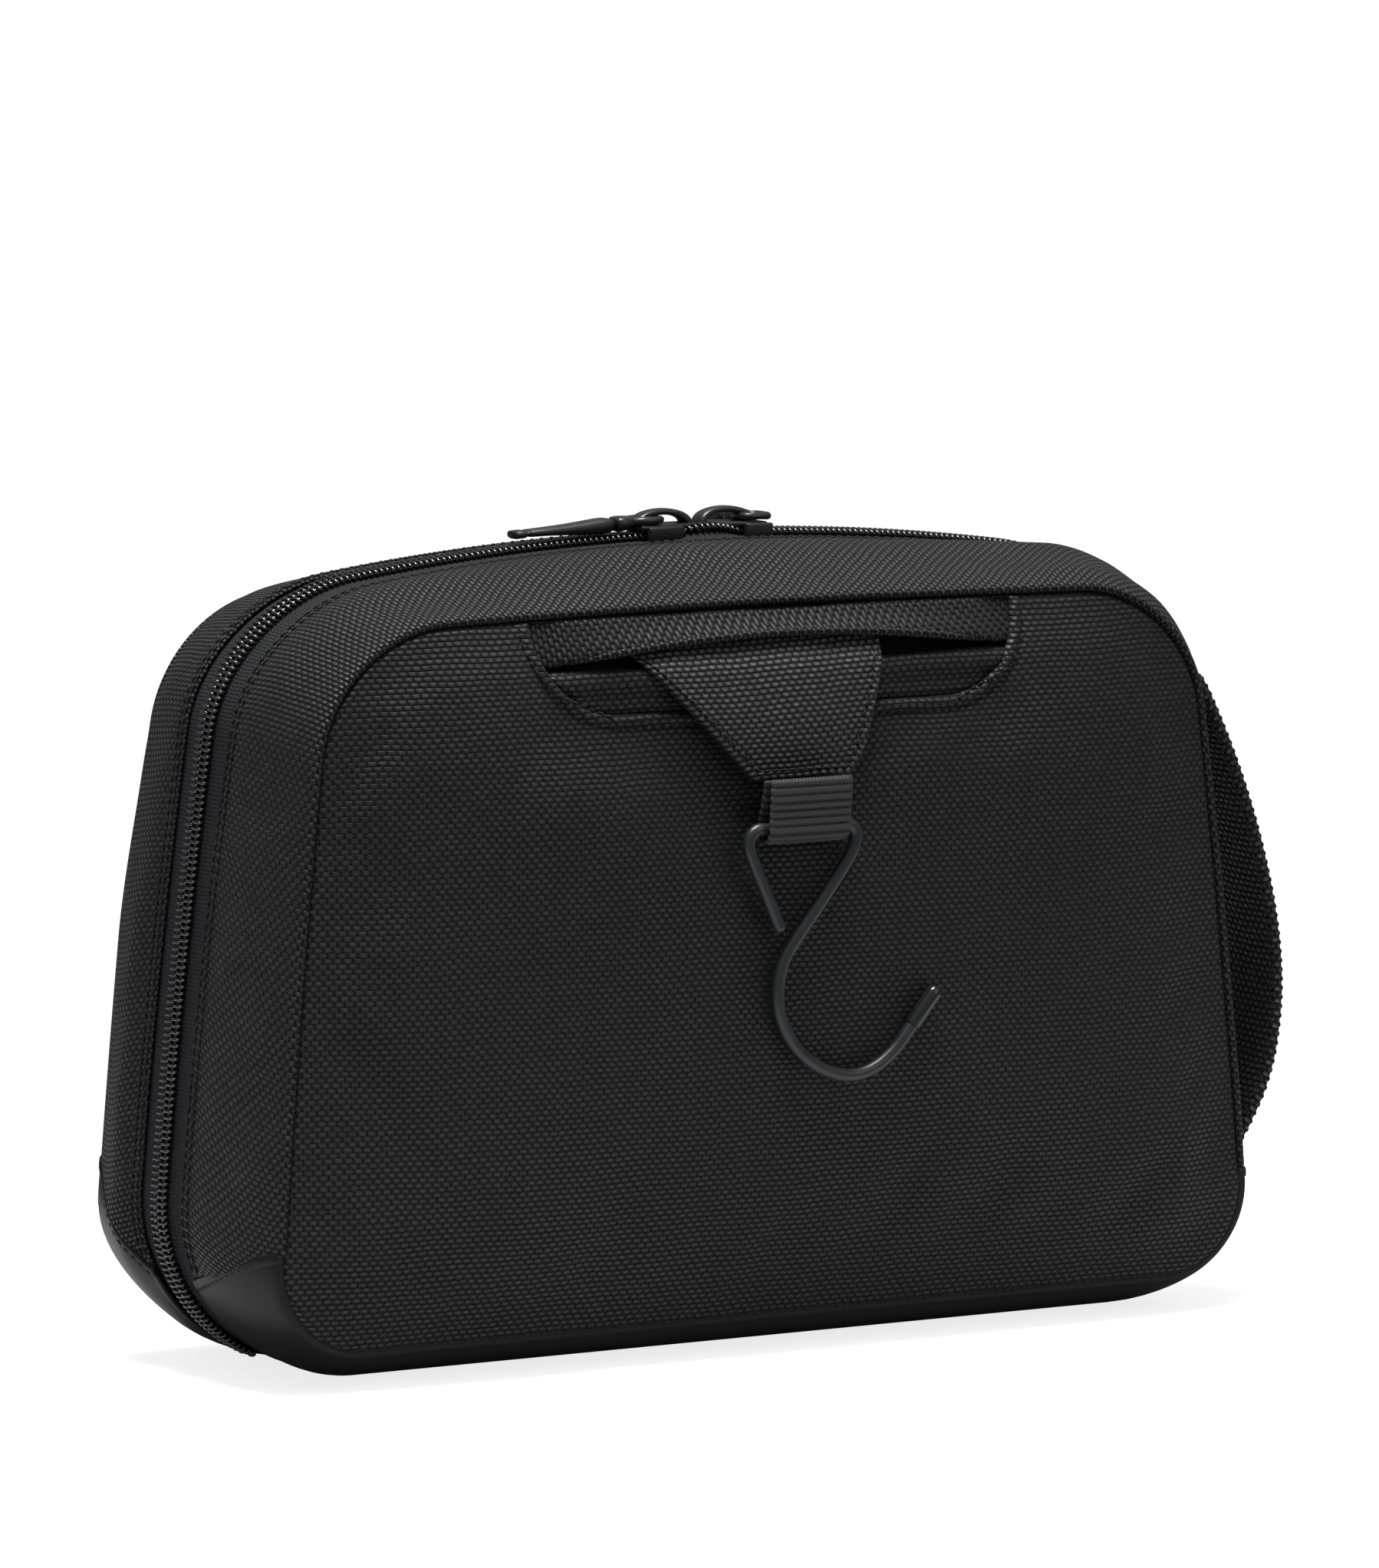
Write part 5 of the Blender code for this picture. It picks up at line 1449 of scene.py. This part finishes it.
# ------------------------------------------------------------ wire hook
WIRE = [  # (x, z) along the wire, from its bare end over the bar to its capped tip
    (-7.9, 99.6), (-10.5, 107.0), (-13.3, 115.0), (-14.6, 118.9), (-14.3, 121.4),
    (-12.4, HOOK_BAR_Z), (-9.0, HOOK_BAR_Z), (0.0, HOOK_BAR_Z), (9.0, HOOK_BAR_Z),
    (12.4, HOOK_BAR_Z - 0.2), (13.9, 120.9), (13.3, 117.6), (10.6, 113.6), (3.0, 105.0),
    (-4.0, 97.0), (-7.2, 92.0), (-8.5, 86.2), (-8.2, 80.6), (-5.9, 75.2), (-2.2, 70.6),
    (3.0, 67.0), (8.2, 65.2), (13.2, 65.0), (18.2, 66.7), (23.2, 70.4), (27.4, 75.2)]
SLEEVE = [  # (radius, distance beyond the wire's tip)
    (1.5, -0.6), (1.52, 0.1), (1.84, 0.2), (1.92, 0.45), (1.92, 8.9), (1.88, 9.5),
    (1.7, 10.1), (1.38, 10.65), (0.9, 10.98), (0.35, 11.1)]


def build_wire_hook():
    """Wire bent below the bar, its lower part set 1.7 mm to the right."""
    points = [(x + 1.7 * float(1 - smooth(98.0, 118.0, z)), HOOK_Y, z) for x, z in WIRE]
    path = even(spline(points, 10), 0.45)
    radii = np.full(len(path), 1.52)
    radii[:2] = 1.2, 1.46
    wire = new_object("wire_hook_bent", *ring_tube(path, radii, 20), MATERIALS["wire"],
                      sharp=50)
    attach(wire, "wire_hook", "wire_hook")
    beyond = unit(path[-1] - path[-3])
    sleeve_path = [path[-1] + beyond * distance for _, distance in SLEEVE]
    sleeve = ring_tube(sleeve_path, [radius for radius, _ in SLEEVE], 24)
    attach(new_object("hook_tip_sleeve", *sleeve, MATERIALS["cap"], sharp=35), "wire_hook",
           "hook_tip_cap")


# ------------------------------------------------------------ grab handle
HANDLE = [  # (x, z) from top to bottom
    (122.6, 150.0), (126.2, 144.0), (133.4, 128.5), (139.9, 110.5), (144.6, 91.5),
    (146.2, 75.0), (144.9, 61.0), (142.0, 51.0), (137.9, 43.0), (134.2, 37.0), (132.6, 33.0)]


def handle_section(half):
    """(y, height) round a flat strap with rolled, bound edges."""
    radius = 1.35

    def roll(middle, start):
        angles = [start + math.pi * k / 8 for k in range(9)]
        return [(middle + radius * math.cos(a), 0.15 + radius * math.sin(a)) for a in angles]
    lower = [(-half + 2.9, -0.75), (-half + 5, -0.95), (-4, -1.0),
             (4, -1.0), (half - 5, -0.95), (half - 2.9, -0.75)]
    upper = [(half - 2.9, 0.95), (half - 5, 1.15), (4, 1.25),
             (-4, 1.25), (-half + 5, 1.15), (-half + 2.9, 0.95)]
    return np.array(roll(-half + radius, math.pi / 2) + lower
                    + roll(half - radius, -math.pi / 2) + upper)


def build_handle():
    """Strap down the right side, bowed outwards and canted across its width."""
    low, high = cad("grab_handle")
    middle, half = (low.y + high.y) / 2 + 1.2, (high.y - low.y) / 2 + 1.6
    cant, sink = 0.1, 1.2
    path = even(spline([(x, 0, z) for x, z in HANDLE], 8), 1.0)
    tangent = unit(np.gradient(path, axis=0))
    normal = columns(-tangent[:, 2], 0.0, tangent[:, 0])
    normal[normal[:, 0] < 0] *= -1
    run = np.arange(len(path)) * 1.0

    def line(y, height):
        return (path + normal * np.reshape(height - sink, (-1, 1))
                + np.array([cant * y, middle + y, 0]))

    section = handle_section(half)
    verts, cloth = [], []
    for (y, height), around in zip(section, distances(section)):
        ripple = 0.05 * np.sin(2 * math.pi * run / 4.2) * np.sign(height or 1)
        verts.append(line(y, height + ripple * (abs(y) > half - 1.6)))
        cloth.append(columns(around, run))
    strap = strip_object("grab_handle_strap", np.array(verts), MATERIALS["strap"],
                         np.array(cloth), 60)
    attach(strap, "grab_handle", "grab_handle")
    runs = [stitch_run(line(y, face + 0.22 * np.sign(face)), normal * np.sign(face),
                       pitch=2.2, length=1.3, radius=0.26)
            for y in (-half + 0.55, half - 0.55) for face in (0.98, -1.05)]
    add_stitches("stitch_grab_handle", "grab_handle", *runs)


# ------------------------------------------------------------ sliders and pulls
def build_softened(node):
    """Copy of a CAD solid with rounded edges."""
    bm = bmesh.new()
    bm.from_mesh(frame["nodes"][node].data)
    bmesh.ops.remove_doubles(bm, verts=bm.verts, dist=3e-6)
    bmesh.ops.dissolve_limit(bm, angle_limit=math.radians(2.0), verts=bm.verts, edges=bm.edges)
    edges = [e for e in bm.edges
             if len(e.link_faces) == 2 and e.calc_face_angle(0) > math.radians(35)]
    bmesh.ops.bevel(bm, geom=edges, offset=0.25 * MM, segments=2, affect="EDGES", profile=0.6,
                    clamp_overlap=True)
    bmesh.ops.triangulate(bm, faces=[f for f in bm.faces if len(f.verts) > 4])
    bmesh.ops.recalc_face_normals(bm, faces=bm.faces)
    mesh = bpy.data.meshes.new(node + "_cast")
    bm.to_mesh(mesh)
    bm.free()
    mesh.materials.append(MATERIALS["cast"])
    mesh.shade_smooth()
    mesh.set_sharp_from_angle(angle=math.radians(45))
    attach(link(node + "_cast", mesh), node, node)


def rounded_box(low, high, bevel, width=None):
    """Box between two corners; width(x) scales it in Y."""
    bm = bmesh.new()
    bmesh.ops.create_cube(bm, size=1.0)
    for vert in bm.verts:
        for i in range(3):
            vert.co[i] = low[i] if vert.co[i] < 0 else high[i]
        if width:
            vert.co.y *= width(vert.co.x)
    bmesh.ops.bevel(bm, geom=bm.edges[:], offset=bevel, segments=3, affect="EDGES", profile=0.6)
    bm.verts.index_update()
    part = (np.array([v.co[:] for v in bm.verts]),
            [tuple(v.index for v in f.verts) for f in bm.faces])
    bm.free()
    return part


def box_round(sides, power):
    """Unit circle squared off towards a box."""
    angle = np.linspace(0, 2 * math.pi, sides, endpoint=False)
    return [np.sign(wave) * np.abs(wave) ** power for wave in (np.cos(angle), np.sin(angle))]


def loft(sections):
    """Rounded-box sections along X: (x, half width, half height, middle height)."""
    sides = 20
    across, up = box_round(sides, 0.62)
    verts = [columns(x, half_width * across, middle + half_height * up)
             for x, half_width, half_height, middle in sections]
    return np.vstack(verts), section_faces(len(sections), sides, flip=True)


def band(path, half_width, half_thickness):
    """Bar of rounded-box section lying across Y along a path in XZ."""
    sides = 16
    across, up = box_round(sides, 0.6)
    tangent = unit(np.gradient(path, axis=0))
    normal = columns(-tangent[:, 2], 0.0, tangent[:, 0])
    verts = (path[:, None] + np.array([0, 1, 0]) * (half_width[:, None] * across)[..., None]
             + normal[:, None] * (half_thickness[:, None] * up)[..., None])
    return verts.reshape(-1, 3), section_faces(len(path), sides, flip=True)


def placed(part, matrix):
    verts, faces = part
    matrix = np.array(matrix)
    return verts @ matrix[:3, :3].T + matrix[:3, 3], faces


def arc_frame(x):
    """Frame on the zip's top arc, its X along the zip."""
    z = ZIP_TOP + math.sqrt(ZIP_ARC_RADIUS ** 2 - x * x) - ZIP_ARC_RADIUS
    return (Matrix.Translation(Vector((x, 0, z)))
            @ Matrix.Rotation(math.asin(x / ZIP_ARC_RADIUS), 4, "Y"))


SLIDER_X = {"left": -4.6, "right": 14.2}


def build_slider(side, wide_end, shift, rails):
    """Arched bridge over a tapering plate with two side rails. wide_end is the sign of the
    plate's wide end in X, shift moves the bridge, rails are the rails' ends in X."""
    t = np.linspace(0, math.pi, 25)
    arch = columns(-6.9 * np.cos(t) + shift, 0.0, 1.9 + 3.65 * np.sin(t) ** 0.8)
    end = np.abs(np.cos(t))
    parts = [band(arch, 1.75 + 0.75 * end ** 2, 0.78 + 0.25 * end ** 3),
             rounded_box((-7.5, -4.4, 1.55), (7.5, 4.4, 2.75), 0.45,
                         lambda x: 1.0 if x * wide_end > 0 else 0.86)]
    for near, far in ((-5.6, -3.85), (3.85, 5.6)):
        parts.append(rounded_box((rails[0], near, -1.1), (rails[1], far, 2.45), 0.5))
    part = placed(join(parts), arc_frame(SLIDER_X[side]))
    ob = outward(new_object(f"slider_{side}_cast", *part, MATERIALS["cast"], sharp=42))
    attach(ob, "slider_" + side, "slider_" + side)


# Half of the pull link's open ring, (x, y); the other half mirrors it in Y
RING = [(-6.4, -1.6, -0.1), (-5.2, -2.9, 0), (-3.2, -3.35, 0), (-1.0, -3.2, 0), (0.25, -2.2, 0)]
# loft sections: x, half width, half height, middle height
LINK_BODY = [
    (-5.9, 1.6, 0.7, 0), (-6.3, 2.3, 1.15, -0.05), (-7.4, 2.8, 1.5, -0.15),
    (-9.5, 3.0, 1.75, -0.25), (-10.7, 3.0, 1.75, -0.3), (-11.15, 2.75, 1.5, -0.3),
    (-11.35, 2.3, 1.1, -0.3), (-11.4, 1.3, 0.5, -0.1), (-13.6, 1.3, 0.5, 0.0)]
TAB = [
    (-12.0, 1.9, 0.75, -0.15), (-12.15, 2.4, 1.1, -0.2), (-12.7, 2.85, 1.5, -0.25),
    (-13.6, 3.05, 1.75, -0.3), (-15.5, 3.15, 1.8, -0.35), (-19.0, 3.15, 1.6, -0.35),
    (-24.0, 3.0, 1.25, -0.25), (-29.0, 2.85, 1.0, -0.1), (-34.2, 2.65, 0.85, 0.0),
    (-34.5, 2.5, 0.72, 0.0), (-34.7, 2.1, 0.55, 0.0), (-35.4, 2.1, 0.55, 0.0),
    (-35.6, 2.5, 0.8, 0.0), (-35.9, 2.65, 0.98, 0.0), (-37.9, 2.65, 0.98, 0.0),
    (-38.2, 2.4, 0.75, 0.0)]


def build_pull(side, offset, turn, tab_droop):
    """Cast link and moulded tab of a slider, lying along the frame's -X. turn is about Z
    and tab_droop about Y, both in degrees."""
    base = (arc_frame(SLIDER_X[side]) @ Matrix.Translation(Vector(offset))
            @ Matrix.Rotation(math.radians(turn), 4, "Z")
            @ Matrix.Rotation(math.radians(-2.0), 4, "Y"))
    ring = spline(RING + [(0.55, 0, 0)] + [(x, -y, z) for x, y, z in reversed(RING)], 6)
    count = len(ring)
    radii = np.interp(np.arange(count), [0, 12, count / 2, count - 13, count - 1],
                      [1.15, 1.0, 0.78, 1.0, 1.15])
    part = placed(join([ring_tube(ring, radii, 14, (0, 0, 1)), loft(LINK_BODY)]), base)
    link_name = "pull_link_" + side
    ob = outward(new_object(link_name + "_cast", *part, MATERIALS["cast"], sharp=50))
    attach(ob, link_name, link_name)

    pivot = Vector((-13.4, 0, 0))
    tab_frame = (base @ Matrix.Translation(pivot)
                 @ Matrix.Rotation(math.radians(tab_droop), 4, "Y")
                 @ Matrix.Translation(-pivot))
    tab_name = "pull_tab_" + side
    ob = outward(new_object(tab_name + "_moulded", *placed(loft(TAB), tab_frame),
                            MATERIALS["tab"], sharp=50))
    attach(ob, tab_name, tab_name)


def dress_kept_nodes():
    """Gives the solids kept from the frame their materials."""
    for node, key in KEPT_NODES.items():
        for slot in frame["nodes"][node].material_slots:
            slot.link = "OBJECT"
            slot.material = KEPT[key]


# ------------------------------------------------------------ stage, light, camera
def build_floor():
    """Pale floor that sinks out of the way of the lid and the right pull."""
    left, right, near, far, z = -0.4, 0.36, -0.26, 0.24, -0.0002
    mesh = bpy.data.meshes.new("floor")
    mesh.from_pydata([(left, near, z), (right, near, z), (right, far, z), (left, far, z)], [],
                     [(0, 1, 2, 3)])
    floor = link("floor", mesh)
    shader = Shader("floor_white")
    seen = shader.add("ShaderNodeLightPath", output="Is Camera Ray")
    mesh.materials.append(shader.finish({
        "Base Color": (0.6, 0.6, 0.6, 1), "Roughness": 0.9, "Specular IOR Level": 0.1,
        "Emission Color": (1, 1, 1, 1), "Emission Strength": seen * 0.8}))
    lowest = link("lowest_point_of_the_lid", None)
    lowest.location = (0, 0.0412, 0.1925)
    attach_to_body(lowest, "lid")
    keep_under = floor.constraints.new("COPY_LOCATION")
    keep_under.target = lowest
    keep_under.use_x = keep_under.use_y = False
    tab = bpy.data.objects["pull_tab_right_moulded"]
    tip = link("tip_of_the_right_pull", None)
    tip.location = max((tab.matrix_world @ v.co for v in tab.data.vertices),
                       key=lambda point: point.y)
    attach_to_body(tip, "pull_tab_right")
    clear_of = floor.constraints.new("FLOOR")
    clear_of.target = tip
    clear_of.floor_location = "FLOOR_NEGATIVE_Z"
    not_above = floor.constraints.new("LIMIT_LOCATION")
    not_above.use_max_z = True
    not_above.max_z = 0.0


def build_world():
    """White to the camera; as light, a dim sky brighter overhead."""
    world = bpy.data.worlds.new("studio")
    bpy.context.scene.world = world
    world.use_nodes = True
    tree = world.node_tree
    tree.nodes.clear()
    white = (1, 1, 1, 1)
    seen = add_node(tree, "ShaderNodeBackground", {0: white, 1: 1.05})
    up = add_node(tree, "ShaderNodeTexCoord", output="Generated").separate()[2]
    # inputs 1 and 2 are the range of heights, 3 and 4 the strengths
    sky = add_node(tree, "ShaderNodeMapRange", {0: up, 1: 0.0, 2: 0.9, 3: 0.1, 4: 0.4})
    # below the horizon the pale floor shines back
    below = up.math("LESS_THAN", 0.0)
    strength = below.math("MULTIPLY_ADD", 0.16, sky)
    lit = add_node(tree, "ShaderNodeBackground", {0: white, 1: strength})
    camera_ray = add_node(tree, "ShaderNodeLightPath", output="Is Camera Ray")
    mix = add_node(tree, "ShaderNodeMixShader", {0: camera_ray, 1: lit, 2: seen})
    add_node_output = tree.nodes.new("ShaderNodeOutputWorld")
    feed(tree, add_node_output, {0: mix})


def add_softbox(name, place, target, size, size_y, power):
    """Rectangular area light, in metres and watts."""
    light = bpy.data.lights.new(name, "AREA")
    light.energy = power
    light.shape, light.size, light.size_y = "RECTANGLE", size, size_y
    ob = link(name, light)
    ob.location = place
    ob.rotation_euler = (Vector(target) - Vector(place)).to_track_quat("-Z", "Y").to_euler()


def build_camera():
    """Long lens to the left of the hook side, a little above the case."""
    azimuth, elevation, distance = math.radians(-30.96), math.radians(7.43), 2.5457
    target = Vector((0, 0, 0.0776))
    aim_right, aim_up = 0.00107, 0.01948    # tangents of the aim's offset from the target
    back = Vector((math.sin(azimuth) * math.cos(elevation),
                   -math.cos(azimuth) * math.cos(elevation), math.sin(elevation)))
    right = Vector((math.cos(azimuth), math.sin(azimuth), 0))
    up = back.cross(right)
    camera = link("camera", bpy.data.cameras.new("camera"))
    camera.data.sensor_width = 36.0
    camera.data.lens = 250.636086106
    camera.data.clip_start, camera.data.clip_end = 0.1, 50
    z = -(-back + right * aim_right + up * aim_up).normalized()
    x = Vector((0, 0, 1)).cross(z).normalized()
    y = z.cross(x)
    camera.matrix_world = (Matrix.Translation(target + back * distance)
                           @ Matrix((x, y, z)).transposed().to_4x4())
    bpy.context.scene.camera = camera


def set_view():
    view = bpy.context.scene.view_settings
    view.view_transform = "Standard"
    view.look = "None"
    view.exposure = 0.0
    view.gamma = 1.0


# ------------------------------------------------------------ build
build_panels()
build_gusset(HOOK, step=1.7, pad=0.55)
build_gusset(LID, step=2.2, pad=0.6)
build_base(HOOK, step=2.2)
build_base(LID, step=2.8)
build_tape(HOOK, "near")
build_tape(LID, "lid")
build_coil(HOOK, "near", phase=0.0)
build_coil(LID, "lid", phase=0.5)
build_hinge_strip()
for some_wall, fold_name in ((HOOK, "gusset"), (LID, "lid")):
    stitch_fold(some_wall, f"stitch_{fold_name}_fold_a", FOLD + 1.0)
    stitch_fold(some_wall, f"stitch_{fold_name}_fold_b", FOLD + 3.05)
for some_wall in WALLS:
    stitch_hem(some_wall)
stitch_slot()
build_lip()
build_welt()
build_flap()
build_hook_loop()
build_wire_hook()
build_handle()
build_slider("left", wide_end=-1, shift=-0.2, rails=(-6.1, 3.2))
build_slider("right", wide_end=1, shift=-1.8, rails=(1.2, 8.4))
build_pull("left", offset=(-1.6, 0, 3.9), turn=0.0, tab_droop=-1.0)
build_pull("right", offset=(5.35, -3.35, 3.9), turn=-90.0, tab_droop=-13.0)
build_softened("inner_slider")
build_softened("inner_slider_pull")
dress_kept_nodes()
build_floor()
build_world()
add_softbox("softbox_top", place=(-0.1, -0.05, 1.35), target=(0, 0, 0.1),
            size=0.6, size_y=0.6, power=29.5)
add_softbox("softbox_left", place=(-1.3, -0.5, 0.7), target=(0, 0, 0.09),
            size=0.8, size_y=1.0, power=0.35)
add_softbox("softbox_right", place=(0.7, -1.5, 1.0), target=(0, 0, 0.1),
            size=0.6, size_y=1.0, power=3.6)
build_camera()
set_view()

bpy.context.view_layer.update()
